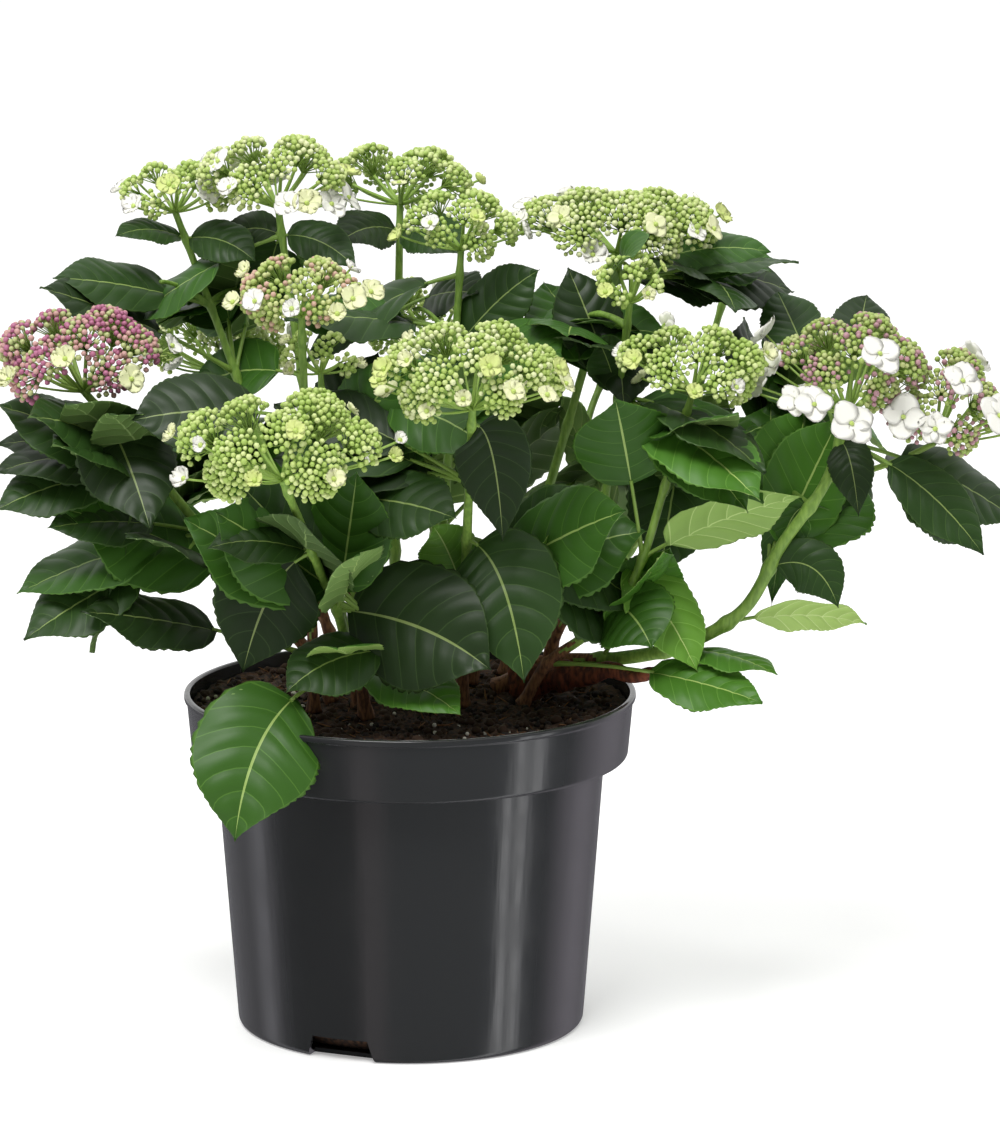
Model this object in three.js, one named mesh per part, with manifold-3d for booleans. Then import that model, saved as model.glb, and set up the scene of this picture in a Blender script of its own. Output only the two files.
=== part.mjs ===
// A hydrangea shrub in its nursery pot: the pot, its compost, one stem for every shoot, uneven masses
// of leaves and an uneven dome for every flower head.
// Millimetres, +Z up. The origin is the middle of the pot's flat underside, and -Y is the front.
import * as THREE from 'three';
import { mergeVertices } from 'three/addons/utils/BufferGeometryUtils.js';
import Module from 'manifold-3d';

const wasm = await Module();
wasm.setup();

// ---------------------------------------------------------------- driving dimensions
// The pot: a standard 26 cm container, thin walled, with a deep rim band over a tapered body.
const RIM_DIAMETER = 260;
const POT_HEIGHT = 195;
const BASE_DIAMETER = 200;
const BODY_TOP_DIAMETER = 224;
const RIM_BAND = 37;
const RIM_BAND_TAPER = 3;
const LIP_HEIGHT = 4;
const LIP_OVERHANG = 1.5;
const CORNER_RADIUS = 3;
const WALL = 2;
const FLOOR = 2.5;
const POT_SIDES = 36;

// Three drain notches cut through the bottom edge, one of them to the left of the front.
const NOTCH_COUNT = 3;
const NOTCH_WIDTH = 42;
const NOTCH_TOP_WIDTH = 34;
const NOTCH_HEIGHT = 13;
const NOTCH_DEPTH = 12;
const NOTCH_BEARING = -24;

// The compost fills the pot to a little below the rim and is slightly domed.
const COMPOST_BELOW_RIM = 9;
const COMPOST_DOME = 2;
const COMPOST_CHAMFER = 14;

// Neighbouring solids stay this far apart.
const GAP = 0.5;

// Stems: sides and lengths of the tapering tubes, and how thin they are under the flower head.
const STEM_SIDES = 6;
const STEM_STEPS = 7;
const STEM_TIP_SHARE = 0.6;
const FOOT_RISE = 10;

// A stem ends just inside its flower head, this share of the head's height below its middle.
const STEM_TIP_DROP = 0.3;

const COMPOST_TOP = POT_HEIGHT - COMPOST_BELOW_RIM;

// A stem bends at these shares of its rise on the way from its foot to its flower head.
const KNEE_SHARES = [0.35, 0.7];

// Every shoot: where its stem leaves the compost, the middle of its flower head, and the head's width,
// depth and height. Its lean is 1 for a straight slant, less where it leans out early and then rises,
// and more where it rises first. A stem that lies over the rim has knees of its own instead.
const SHOOTS = {
  far_left: { foot: [-45, 10], head: [-185, -10, 390], lean: 1.1, radius: 3.6, size: [100, 70, 60] },
  top_left: { foot: [-40, 40], head: [-135, 65, 475], lean: 1.1, radius: 3.2, size: [60, 50, 35] },
  upper_left: { foot: [-15, 15], head: [-75, 45, 485], lean: 0.6, radius: 3.4, size: [85, 70, 50] },
  back_centre: { foot: [-10, 60], head: [-5, 105, 475], lean: 1, radius: 3.4, size: [90, 70, 40] },
  upper_centre: { foot: [10, 20], head: [30, 25, 460], lean: 0.8, radius: 3.2, size: [70, 60, 40] },
  upper_right: { foot: [35, 60], head: [120, 55, 455], lean: 0.8, radius: 3.4, size: [120, 80, 45] },
  left_centre: { foot: [-55, -15], head: [-60, -60, 435], lean: 1.3, radius: 3.2, size: [75, 65, 40] },
  left_bud: { foot: [-30, -5], head: [-50, -30, 395], lean: 0.6, radius: 2.8, size: [45, 40, 30] },
  front_left: { foot: [-25, -30], head: [-70, -125, 360], lean: 1.2, radius: 3.4, size: [125, 85, 60] },
  front_centre: { foot: [30, 0], head: [35, -100, 395], lean: 1.3, radius: 3.4, size: [100, 80, 60] },
  right_bud: { foot: [75, 40], head: [125, -20, 435], lean: 0.5, radius: 3.2, size: [40, 40, 35] },
  right_centre: { foot: [65, 0], head: [160, -40, 390], lean: 0.5, radius: 3.2, size: [85, 65, 45] },
  back_right: { foot: [60, 55], head: [190, 140, 420], lean: 0.5, radius: 3.2, size: [35, 30, 25] },
  far_right: {
    foot: [50, 40],
    knees: [[85, 30, 205], [135, 0, 215], [185, -20, 240], [215, -25, 290], [245, -20, 335]],
    head: [250, -10, 380],
    radius: 4.6,
    size: [90, 80, 70],
  },
  back_left: { foot: [-40, 65], head: [-115, 150, 370], lean: 1.1, radius: 3.2, size: [85, 70, 45] },
  back_low: { foot: [15, 85], head: [15, 180, 380], lean: 1.1, radius: 3.2, size: [90, 70, 50] },
  back_far_right: { foot: [55, 80], head: [120, 165, 370], lean: 1, radius: 3.2, size: [80, 65, 45] },
};

// The far right shoot carries a second, lower lobe of flowers beyond the first.
const SIDE_HEAD = { at: [300, 5, 360], size: [85, 85, 60] };

// A dead, cut woody stem that leans out over the right of the rim.
const OLD_WOOD = { foot: [65, 25], knees: [[85, 10, 200]], tip: [140, -20, 210], radius: 4.2 };

// The masses of leaves: the middle of each and its width, depth and height.
const LEAF_MASSES = {
  low_left: { at: [-135, -25, 260], size: [165, 110, 85] },
  mid_left: { at: [-170, -15, 335], size: [140, 105, 75] },
  top_left: { at: [-140, 25, 425], size: [140, 95, 60] },
  front_left: { at: [-45, -75, 290], size: [150, 105, 90] },
  over_pot: { at: [-85, -135, 180], size: [70, 30, 90] },
  front_low: { at: [-10, -90, 235], size: [110, 60, 65] },
  centre: { at: [70, -45, 270], size: [120, 95, 120] },
  inner_left: { at: [-10, -35, 350], size: [125, 95, 75] },
  upper_centre: { at: [5, 10, 410], size: [140, 105, 65] },
  upper_right: { at: [90, 5, 400], size: [110, 105, 70] },
  right_mid: { at: [145, -45, 345], size: [100, 85, 75] },
  right_low: { at: [120, -25, 250], size: [85, 80, 65] },
  right_foot: { at: [165, -55, 215], size: [90, 70, 30] },
  far_right: { at: [215, 15, 300], size: [105, 105, 120] },
  far_right_tip: { at: [300, -15, 310], size: [110, 80, 70] },
  right_top: { at: [170, 60, 420], size: [125, 105, 60] },
  behind_right: { at: [220, 70, 355], size: [110, 90, 90] },
  back_left: { at: [-105, 80, 300], size: [170, 125, 125] },
  back_middle: { at: [20, 120, 300], size: [170, 125, 140] },
  back_right: { at: [130, 105, 300], size: [150, 110, 130] },
  back_top_left: { at: [-90, 110, 400], size: [120, 95, 80] },
};

// How lumpy the masses and heads are: lumps on each, how sharp they are, and their range of heights.
const LEAF_LUMPS = { count: 9, sharpness: 4, low: 0.1, high: 0.5, detail: 1, underside: 0.85 };
const HEAD_LUMPS = { count: 7, sharpness: 4, low: 0.1, high: 0.4, detail: 1, underside: 0.5 };

// ---------------------------------------------------------------- materials
const finishes = {
  pot: { color: 0x262628, roughness: 0.28, metalness: 0 },
  compost: { color: 0x2c1d12, roughness: 0.95, metalness: 0 },
  stem: { color: 0x7ea83a, roughness: 0.55, metalness: 0 },
  old_wood: { color: 0x7a3a1e, roughness: 0.8, metalness: 0 },
  leaves: { color: 0x3a6a1c, roughness: 0.5, metalness: 0 },
  flowers: { color: 0x9cba58, roughness: 0.7, metalness: 0 },
  pink_flowers: { color: 0xb8607a, roughness: 0.7, metalness: 0 },
};

function material(name) {
  return new THREE.MeshStandardMaterial(finishes[name]);
}

// ---------------------------------------------------------------- solids and cuts
function welded(geometry) {
  geometry.deleteAttribute('normal');
  geometry.deleteAttribute('uv');
  return mergeVertices(geometry, 1e-4);
}

function solidOf(geometry) {
  const whole = welded(geometry);
  const vertProperties = new Float32Array(whole.attributes.position.array);
  const triVerts = new Uint32Array(whole.index.array);
  return new wasm.Manifold(new wasm.Mesh({ numProp: 3, vertProperties, triVerts }));
}

function geometryOf(solid) {
  const mesh = solid.getMesh();
  const geometry = new THREE.BufferGeometry();
  geometry.setAttribute('position', new THREE.BufferAttribute(mesh.vertProperties, 3));
  geometry.setIndex(new THREE.BufferAttribute(mesh.triVerts, 1));
  geometry.computeVertexNormals();
  return geometry;
}

function cutBy(solid, tools) {
  return tools.reduce((left, tool) => left.subtract(tool), solid);
}

function largestPieceOf(solid) {
  const pieces = solid.decompose();
  return pieces.reduce((best, piece) => (piece.volume() > best.volume() ? piece : best));
}

// Slivers and doubled points shorter than this are smoothed away after a cut.
const SMALLEST_DETAIL = 0.1;

const shrub = new THREE.Group();

function add(name, geometry, finish) {
  const mesh = new THREE.Mesh(geometry, material(finish));
  mesh.name = name;
  shrub.add(mesh);
}

// A seeded random number from 0 to 1, the same on every run.
function seededRandom(seed) {
  let state = seed;
  return () => {
    state = (state + 0x6d2b79f5) | 0;
    let mixed = Math.imul(state ^ (state >>> 15), 1 | state);
    mixed = (mixed + Math.imul(mixed ^ (mixed >>> 7), 61 | mixed)) ^ mixed;
    return ((mixed ^ (mixed >>> 14)) >>> 0) / 4294967296;
  };
}

// ---------------------------------------------------------------- pot and compost
function lathe(points) {
  const profile = points.map(([radius, z]) => new THREE.Vector2(radius, z));
  const geometry = new THREE.LatheGeometry(profile, POT_SIDES);
  geometry.rotateX(Math.PI / 2);
  return geometry;
}

function potShell() {
  const rim = RIM_DIAMETER / 2;
  const band = rim - LIP_OVERHANG;
  const base = BASE_DIAMETER / 2;
  const body = BODY_TOP_DIAMETER / 2;
  const shoulder = POT_HEIGHT - RIM_BAND;
  return lathe([
    [0, 0],
    [base - CORNER_RADIUS, 0],
    [base, CORNER_RADIUS],
    [body, shoulder - WALL],
    [band - RIM_BAND_TAPER, shoulder],
    [band, POT_HEIGHT - LIP_HEIGHT],
    [rim, POT_HEIGHT - LIP_HEIGHT],
    [rim, POT_HEIGHT],
    [band - WALL, POT_HEIGHT],
    [band - RIM_BAND_TAPER - WALL, shoulder + WALL],
    [body - WALL, shoulder],
    [base - WALL, CORNER_RADIUS + FLOOR],
    [base - WALL - CORNER_RADIUS, FLOOR],
    [0, FLOOR],
  ]);
}

function drainNotch(index) {
  const outline = new THREE.Shape([
    new THREE.Vector2(-NOTCH_WIDTH / 2, -1),
    new THREE.Vector2(NOTCH_WIDTH / 2, -1),
    new THREE.Vector2(NOTCH_TOP_WIDTH / 2, NOTCH_HEIGHT),
    new THREE.Vector2(-NOTCH_TOP_WIDTH / 2, NOTCH_HEIGHT),
  ]);
  const notch = new THREE.ExtrudeGeometry(outline, { depth: 2 * NOTCH_DEPTH, bevelEnabled: false });
  notch.rotateX(Math.PI / 2);
  notch.translate(0, NOTCH_DEPTH - BASE_DIAMETER / 2, 0);
  notch.rotateZ(THREE.MathUtils.degToRad(NOTCH_BEARING + (index * 360) / NOTCH_COUNT));
  return solidOf(notch);
}

function pot() {
  const notches = Array.from({ length: NOTCH_COUNT }, (_, index) => drainNotch(index));
  return geometryOf(cutBy(solidOf(potShell()), notches));
}

function compost() {
  const base = BASE_DIAMETER / 2 - WALL - GAP;
  const body = BODY_TOP_DIAMETER / 2 - WALL - GAP;
  const band = RIM_DIAMETER / 2 - LIP_OVERHANG - RIM_BAND_TAPER - WALL - GAP;
  const shoulder = POT_HEIGHT - RIM_BAND + WALL + GAP;
  return lathe([
    [0, FLOOR + GAP],
    [base - COMPOST_CHAMFER, FLOOR + GAP],
    [base, FLOOR + COMPOST_CHAMFER],
    [body, shoulder - WALL],
    [band, shoulder],
    [band, COMPOST_TOP - COMPOST_DOME],
    [band / 2, COMPOST_TOP - COMPOST_DOME / 4],
    [0, COMPOST_TOP],
  ]);
}

// The height of the domed compost at a point, a little above its facets.
function compostHeight([x, y]) {
  const band = RIM_DIAMETER / 2 - LIP_OVERHANG - RIM_BAND_TAPER - WALL - GAP;
  const share = Math.hypot(x, y) / band;
  return COMPOST_TOP - COMPOST_DOME * share * share + GAP;
}

// ---------------------------------------------------------------- stems
// The knees of a stem that leans by a power of its rise.
function kneesOf(foot, tip, lean) {
  const rise = tip[2] - compostHeight(foot);
  return KNEE_SHARES.map((share) => {
    const out = share ** lean;
    const x = foot[0] + (tip[0] - foot[0]) * out;
    const y = foot[1] + (tip[1] - foot[1]) * out;
    return [x, y, tip[2] - rise * (1 - share)];
  });
}

function stemCurve(foot, knees, tip) {
  const [x, y] = foot;
  const z = compostHeight(foot);
  const points = [[x, y, z], [x, y, z + FOOT_RISE], ...knees, tip];
  return new THREE.CatmullRomCurve3(points.map((point) => new THREE.Vector3(...point)));
}

// A tapering tube of the given foot radius round a curve: a cylinder that is bent to the curve, with
// a level cut at its foot.
function taperedLimb(curve, radius, grown = 0) {
  const limb = new THREE.CylinderGeometry(1, 1, 1, STEM_SIDES, STEM_STEPS);
  const position = limb.attributes.position;
  const level = new THREE.Vector3(0, 0, 1);
  const across = new THREE.Vector3(0, 1, 0);
  for (let index = 0; index < position.count; index += 1) {
    const share = position.getY(index) + 0.5;
    const centre = curve.getPointAt(share);
    const along = share === 0 ? level : curve.getTangentAt(share);
    const side = new THREE.Vector3().crossVectors(across, along).normalize();
    const front = new THREE.Vector3().crossVectors(along, side);
    const size = radius * (1 - share * (1 - STEM_TIP_SHARE)) + grown;
    centre.addScaledVector(side, position.getX(index) * size);
    centre.addScaledVector(front, -position.getZ(index) * size);
    centre.addScaledVector(along, (2 * share - 1) * grown);
    position.setXYZ(index, centre.x, centre.y, centre.z);
  }
  return limb;
}

// ---------------------------------------------------------------- leaf masses and flower heads
// A closed lumpy blob of exactly the given width, depth and height, grown all over by a few tenths
// of a millimetre where it is to be cut out of a neighbour.
function lumpyMass({ at, size }, lumps, seed, grown = 0) {
  const random = seededRandom(seed);
  const bumps = Array.from({ length: lumps.count }, () => {
    const turn = 2 * Math.PI * random();
    const rise = 2 * random() - 1;
    const level = Math.sqrt(1 - rise * rise);
    const towards = new THREE.Vector3(level * Math.cos(turn), level * Math.sin(turn), rise);
    return { towards, height: lumps.low + (lumps.high - lumps.low) * random() };
  });
  const mass = welded(new THREE.IcosahedronGeometry(1, lumps.detail));
  const position = mass.attributes.position;
  const spot = new THREE.Vector3();
  for (let index = 0; index < position.count; index += 1) {
    spot.fromBufferAttribute(position, index).normalize();
    const swell = bumps.reduce(
      (sum, { towards, height }) => sum + height * Math.exp(lumps.sharpness * (spot.dot(towards) - 1)),
      0.7,
    );
    spot.multiplyScalar(swell);
    spot.z *= spot.z < 0 ? lumps.underside : 1;
    position.setXYZ(index, spot.x, spot.y, spot.z);
  }
  mass.computeBoundingBox();
  const extent = mass.boundingBox.getSize(new THREE.Vector3());
  const middle = mass.boundingBox.getCenter(new THREE.Vector3());
  mass.translate(-middle.x, -middle.y, -middle.z);
  const [width, depth, height] = size.map((side) => side + 2 * grown);
  mass.scale(width / extent.x, depth / extent.y, height / extent.z);
  mass.translate(...at);
  return mass;
}

// ---------------------------------------------------------------- the shrub
add('pot', pot(), 'pot');
add('compost', compost(), 'compost');

// Everything already placed, grown by the gap, to be cut out of what comes after it.
const placed = [];

function place(name, finish, solid, grownSolid, tools) {
  const piece = largestPieceOf(cutBy(solid, tools)).simplify(SMALLEST_DETAIL);
  add(name, geometryOf(piece), finish);
  placed.push(grownSolid);
}

function placeStem(name, finish, curve, radius) {
  const limb = solidOf(taperedLimb(curve, radius));
  const grown = solidOf(taperedLimb(curve, radius, GAP));
  place(name, finish, limb, grown, placed);
}

for (const [name, { foot, knees, lean, head, radius, size }] of Object.entries(SHOOTS)) {
  const [x, y, z] = head;
  const tip = [x, y, z - STEM_TIP_DROP * size[2]];
  const curve = stemCurve(foot, knees ?? kneesOf(foot, tip, lean), tip);
  placeStem(`stem_${name}`, 'stem', curve, radius);
}
placeStem('stem_old_wood', 'old_wood', stemCurve(OLD_WOOD.foot, OLD_WOOD.knees, OLD_WOOD.tip), OLD_WOOD.radius);

function placeMass(name, finish, mass, lumps, seed) {
  const solid = solidOf(lumpyMass(mass, lumps, seed));
  const grown = solidOf(lumpyMass(mass, lumps, seed, GAP));
  place(name, finish, solid, grown, placed);
}

const PINK_HEADS = ['far_left', 'far_right'];
const HEADS = Object.entries(SHOOTS).map(([name, { head, size }]) => [name, { at: head, size }]);
HEADS.push(['far_right_side', SIDE_HEAD]);
HEADS.forEach(([name, mass], index) => {
  const pink = PINK_HEADS.some((start) => name.startsWith(start));
  placeMass(`head_${name}`, pink ? 'pink_flowers' : 'flowers', mass, HEAD_LUMPS, 11 + index);
});

Object.entries(LEAF_MASSES).forEach(([name, mass], index) => {
  placeMass(`leaves_${name}`, 'leaves', mass, LEAF_LUMPS, 51 + index);
});

export default shrub;
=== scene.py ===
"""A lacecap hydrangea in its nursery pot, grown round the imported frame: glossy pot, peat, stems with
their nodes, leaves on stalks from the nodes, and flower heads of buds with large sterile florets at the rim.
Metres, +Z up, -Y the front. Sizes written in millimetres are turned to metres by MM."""

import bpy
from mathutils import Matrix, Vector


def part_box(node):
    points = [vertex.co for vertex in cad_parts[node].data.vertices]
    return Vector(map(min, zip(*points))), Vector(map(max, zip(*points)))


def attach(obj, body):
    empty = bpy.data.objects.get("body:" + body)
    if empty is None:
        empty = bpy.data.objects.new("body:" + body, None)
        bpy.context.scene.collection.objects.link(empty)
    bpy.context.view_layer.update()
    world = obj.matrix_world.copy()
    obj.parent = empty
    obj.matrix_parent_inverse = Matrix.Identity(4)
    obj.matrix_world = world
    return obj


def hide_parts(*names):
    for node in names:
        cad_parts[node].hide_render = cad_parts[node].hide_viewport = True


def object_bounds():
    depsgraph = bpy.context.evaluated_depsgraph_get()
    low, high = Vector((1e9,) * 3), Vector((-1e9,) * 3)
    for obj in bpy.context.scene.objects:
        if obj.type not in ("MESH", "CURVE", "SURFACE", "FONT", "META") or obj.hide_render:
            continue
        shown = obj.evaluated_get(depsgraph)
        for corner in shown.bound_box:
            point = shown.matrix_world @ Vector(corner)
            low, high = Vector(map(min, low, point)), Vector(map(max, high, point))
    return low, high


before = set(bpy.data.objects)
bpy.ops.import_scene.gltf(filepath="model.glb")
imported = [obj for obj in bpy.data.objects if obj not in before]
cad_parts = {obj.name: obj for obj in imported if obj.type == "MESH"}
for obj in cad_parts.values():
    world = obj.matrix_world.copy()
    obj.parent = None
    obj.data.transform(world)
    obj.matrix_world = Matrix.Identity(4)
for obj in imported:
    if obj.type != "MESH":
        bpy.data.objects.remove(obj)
cad_box = [list(corner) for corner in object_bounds()]

import math

import bpy
import mathutils
import numpy as np

MM = 0.001
UP = np.array([0.0, 0.0, 1.0])

# ---------------------------------------------------------------- small helpers


def unit(vector):
    vector = np.asarray(vector, float)
    return vector / np.linalg.norm(vector, axis=-1, keepdims=True)


def linear(colour):
    """An sRGB hex colour as linear red, green, blue and alpha."""
    shares = [int(colour[i : i + 2], 16) / 255 for i in (1, 3, 5)]
    return tuple(c / 12.92 if c <= 0.04045 else ((c + 0.055) / 1.055) ** 2.4 for c in shares) + (1.0,)


def add(tree, kind, inputs=None, **settings):
    """Adds a node, sets its properties, and sets or links its inputs by name."""
    made = tree.nodes.new(kind)
    for key, value in settings.items():
        setattr(made, key, value)
    for key, value in (inputs or {}).items():
        if isinstance(value, bpy.types.NodeSocket):
            tree.links.new(value, made.inputs[key])
        else:
            made.inputs[key].default_value = value
    return made


class Parts:
    """Gathers grids and tubes of one piece: points, faces of four corners and material numbers."""

    def __init__(self):
        self.points, self.faces, self.slots, self.count = [], [], [], 0

    def add(self, points, faces, slots):
        points, faces = np.asarray(points, float), np.asarray(faces, int)
        self.points.append(points)
        self.faces.append(np.where(faces < 0, -1, faces + self.count))
        self.slots.append(np.broadcast_to(slots, len(faces)))
        self.count += len(points)


def made_mesh(name, points, faces, slots=None, materials=(), smooth=True):
    """A mesh object from arrays. Faces have four corners, and a last corner of -1 marks a triangle."""
    points, faces = np.asarray(points, np.float32), np.asarray(faces, np.int32)
    sides = np.where(faces[:, 3] < 0, 3, 4)
    starts = np.concatenate(([0], np.cumsum(sides)[:-1]))
    mesh = bpy.data.meshes.new(name)
    mesh.vertices.add(len(points))
    mesh.vertices.foreach_set("co", points.ravel())
    mesh.loops.add(int(sides.sum()))
    used = faces.ravel() >= 0
    mesh.loops.foreach_set("vertex_index", faces.ravel()[used])
    mesh.polygons.add(len(faces))
    mesh.polygons.foreach_set("loop_start", starts.astype(np.int32))
    if slots is not None:
        mesh.polygons.foreach_set("material_index", np.asarray(slots, np.int32))
    mesh.polygons.foreach_set("use_smooth", np.full(len(faces), smooth))
    mesh.update()
    mesh.validate()
    for finish in materials:
        mesh.materials.append(finish)
    made = bpy.data.objects.new(name, mesh)
    bpy.context.scene.collection.objects.link(made)
    return made


def piece_of(name, parts, materials):
    points, faces = np.concatenate(parts.points), np.concatenate(parts.faces)
    return made_mesh(name, points, faces, np.concatenate(parts.slots), materials)


def grid_faces(rows, columns, closed_round=False):
    """The faces of a grid of points in rows, with its columns closed into a ring if asked."""
    wide = columns if closed_round else columns - 1
    row, column = np.meshgrid(np.arange(rows - 1), np.arange(wide), indexing="ij")
    after = (column + 1) % columns
    corners = [row * columns + column, row * columns + after]
    corners += [(row + 1) * columns + after, (row + 1) * columns + column]
    return np.stack(corners, -1).reshape(-1, 4)


def frames_along(points, hint=(0.0, 1.0, 0.0)):
    """Unit tangent, side and front vectors at each point of a line, turned as little as possible."""
    tangents = unit(np.gradient(points, axis=0))
    fronts = np.zeros_like(points)
    front = np.asarray(hint, float)
    for index, tangent in enumerate(tangents):
        front = unit(front - tangent * front.dot(tangent))
        fronts[index] = front
    return tangents, np.cross(tangents, fronts), fronts


def tube(points, radii, sides, capped=True):
    """A closed tube round a line: its points and faces. radii is one for each point, or rows of one
    for each side."""
    points = np.asarray(points, float)
    radii = np.broadcast_to(np.asarray(radii, float).reshape(len(points), -1), (len(points), sides))
    _, side, front = frames_along(points)
    turn = 2 * math.pi * np.arange(sides) / sides
    ring = np.cos(turn)[None, :, None] * side[:, None] + np.sin(turn)[None, :, None] * front[:, None]
    skin = (points[:, None] + ring * radii[..., None]).reshape(-1, 3)
    faces = grid_faces(len(points), sides, closed_round=True)[:, ::-1]
    if not capped:
        return skin, faces
    last = len(skin)
    skin = np.vstack([skin, points[:1], points[-1:]])
    around = np.arange(sides)
    after = (around + 1) % sides
    none = np.full(sides, -1)
    foot = np.stack([np.full(sides, last), around, after, none], -1)
    top = (len(points) - 1) * sides
    tip = np.stack([np.full(sides, last + 1), top + after, top + around, none], -1)
    return skin, np.vstack([faces, foot, tip])


def smooth_line(points, count):
    """A Catmull-Rom line through the points, with evenly spaced steps."""
    points = np.asarray(points, float)
    ends = np.vstack([2 * points[0] - points[1], points, 2 * points[-1] - points[-2]])
    fine = []
    for index in range(len(points) - 1):
        a, b, c, d = ends[index : index + 4]
        t = np.linspace(0, 1, 16, endpoint=False)[:, None]
        fine.append(
            0.5 * (2 * b + (c - a) * t + (2 * a - 5 * b + 4 * c - d) * t**2 + (3 * b - a - 3 * c + d) * t**3)
        )
    fine = np.vstack(fine + [points[-1:]])
    length = np.concatenate(([0], np.cumsum(np.linalg.norm(np.diff(fine, axis=0), axis=1))))
    steps = np.linspace(0, length[-1], count)
    return np.stack([np.interp(steps, length, fine[:, axis]) for axis in range(3)], -1)


# ---------------------------------------------------------------- camera and light
# A long lens that looks a little down on the plant, aimed to the right of the pot's axis.
CAMERA_DISTANCE = 3.37
CAMERA_HEIGHT = 0.957
CAMERA_PITCH = math.radians(11.6)
CAMERA_YAW = math.radians(0.88)
LENS = 189.5
SENSOR = 36.0


def set_camera():
    data = bpy.data.cameras.new("camera")
    data.sensor_fit = "VERTICAL"
    data.sensor_height = SENSOR
    data.lens = LENS
    data.clip_end = 100
    camera = bpy.data.objects.new("camera", data)
    camera.location = (0, -CAMERA_DISTANCE, CAMERA_HEIGHT)
    camera.rotation_euler = (math.pi / 2 - CAMERA_PITCH, 0, -CAMERA_YAW)
    bpy.context.scene.collection.objects.link(camera)
    bpy.context.scene.camera = camera


def area_light(name, place, aim, size, power):
    data = bpy.data.lights.new(name, "AREA")
    data.shape = "RECTANGLE"
    data.size, data.size_y = size
    data.energy = power
    lamp = bpy.data.objects.new(name, data)
    lamp.location = place
    direction = np.asarray(aim, float) - np.asarray(place, float)
    lamp.rotation_euler = mathutils.Vector(direction).to_track_quat("-Z", "Y").to_euler()
    bpy.context.scene.collection.objects.link(lamp)


# The studio is white behind and above, and falls to the dim side's grey in front: how far a direction
# leans towards the white way where it is wholly dim and wholly white.
DIM_SIDE = "#8c8c8c"
WHITE_WAY = (0, 0.9, 0.6)
DIM_BELOW, WHITE_ABOVE = -0.4, 0.6
# The room round the set, which only shine on the pot and the leaves shows: its grey at bearings from
# the front, in degrees, + to the right, and how bright its lamps are. The two narrow bright bearings
# are a split softbox.
ROOM = [
    (-180, "#3c3c3e"), (-124, "#4a494c"), (-108, "#8a898e"), (-98, "#504f53"), (-84, "#252527"),
    (-50, "#1c1c1d"), (-36, "#1e1d1e"), (-30, "#666062"), (-19, "#5f5a5c"), (-12, "#424446"),
    (40, "#4a4c4e"), (57, "#505256"), (61, "#eeeef0"), (64, "#f4f4f6"), (66.5, "#56585c"),
    (69.5, "#595b60"), (72, "#ffffff"), (75, "#d8d8dc"), (79, "#4c4e52"), (96, "#3e3f42"),
    (106, "#68656b"), (124, "#79757c"), (150, "#48464a"), (180, "#3c3c3e"),
]
ROOM_BRIGHTNESS = 4.5
# How high the room reaches and how softly it ends, as the upward part of a direction.
ROOM_TOP, ROOM_EDGE = -0.06, 0.1
LAMP_PLACE, LAMP_AIM = (-0.5, -1.2, 2.6), (0, 0, 0.3)
LAMP_SIZE, LAMP_WATTS = (1.4, 1.1), 56
FLOOR_REACH, FLOOR_GLOW = 12.0, 0.3


def room_by_bearing(tree, way):
    """The room's grey in a direction, by its bearing alone."""
    parts = add(tree, "ShaderNodeSeparateXYZ", {"Vector": way})
    front = add(tree, "ShaderNodeMath", {0: parts.outputs["Y"], 1: -1.0}, operation="MULTIPLY")
    bearing = add(tree, "ShaderNodeMath", {0: parts.outputs["X"], 1: front.outputs[0]}, operation="ARCTAN2")
    share = add(tree, "ShaderNodeMapRange", {"Value": bearing.outputs[0], "From Min": -math.pi,
                                             "From Max": math.pi})
    ramp = add(tree, "ShaderNodeValToRGB", {"Fac": share.outputs["Result"]})
    stops = ramp.color_ramp.elements
    for degrees, grey in ROOM[1:-1]:
        stops.new((degrees + 180) / 360).color = linear(grey)
    stops[0].color, stops[-1].color = linear(ROOM[0][1]), linear(ROOM[-1][1])
    return ramp.outputs["Color"], parts.outputs["Z"]


def set_lights():
    """A studio that is white behind and above the plant and dimmer in front of it, a dark room below
    the floor's edge, and a large lamp over the left shoulder."""
    world = bpy.data.worlds.new("studio")
    world.use_nodes = True
    tree = world.node_tree
    way = add(tree, "ShaderNodeTexCoord").outputs["Generated"]
    lit = add(tree, "ShaderNodeVectorMath", {0: way, 1: WHITE_WAY}, operation="DOT_PRODUCT")
    share = add(tree, "ShaderNodeMapRange",
                {"Value": lit.outputs["Value"], "From Min": DIM_BELOW, "From Max": WHITE_ABOVE})
    sky = add(tree, "ShaderNodeMix", {"Factor": share.outputs["Result"]}, data_type="RGBA")
    sky.inputs[6].default_value = linear(DIM_SIDE)
    sky.inputs[7].default_value = linear("#ffffff")
    room, height = room_by_bearing(tree, way)
    low = add(tree, "ShaderNodeMapRange",
              {"Value": height, "From Min": ROOM_TOP, "From Max": ROOM_TOP - ROOM_EDGE})
    seen = add(tree, "ShaderNodeMix", {"Factor": low.outputs["Result"]}, data_type="RGBA")
    tree.links.new(sky.outputs[2], seen.inputs[6])
    bright = add(tree, "ShaderNodeVectorMath", {0: room}, operation="SCALE")
    bright.inputs["Scale"].default_value = ROOM_BRIGHTNESS
    tree.links.new(bright.outputs["Vector"], seen.inputs[7])
    tree.links.new(seen.outputs[2], tree.nodes["Background"].inputs["Color"])
    bpy.context.scene.world = world
    area_light("overhead", LAMP_PLACE, LAMP_AIM, LAMP_SIZE, LAMP_WATTS)


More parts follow.
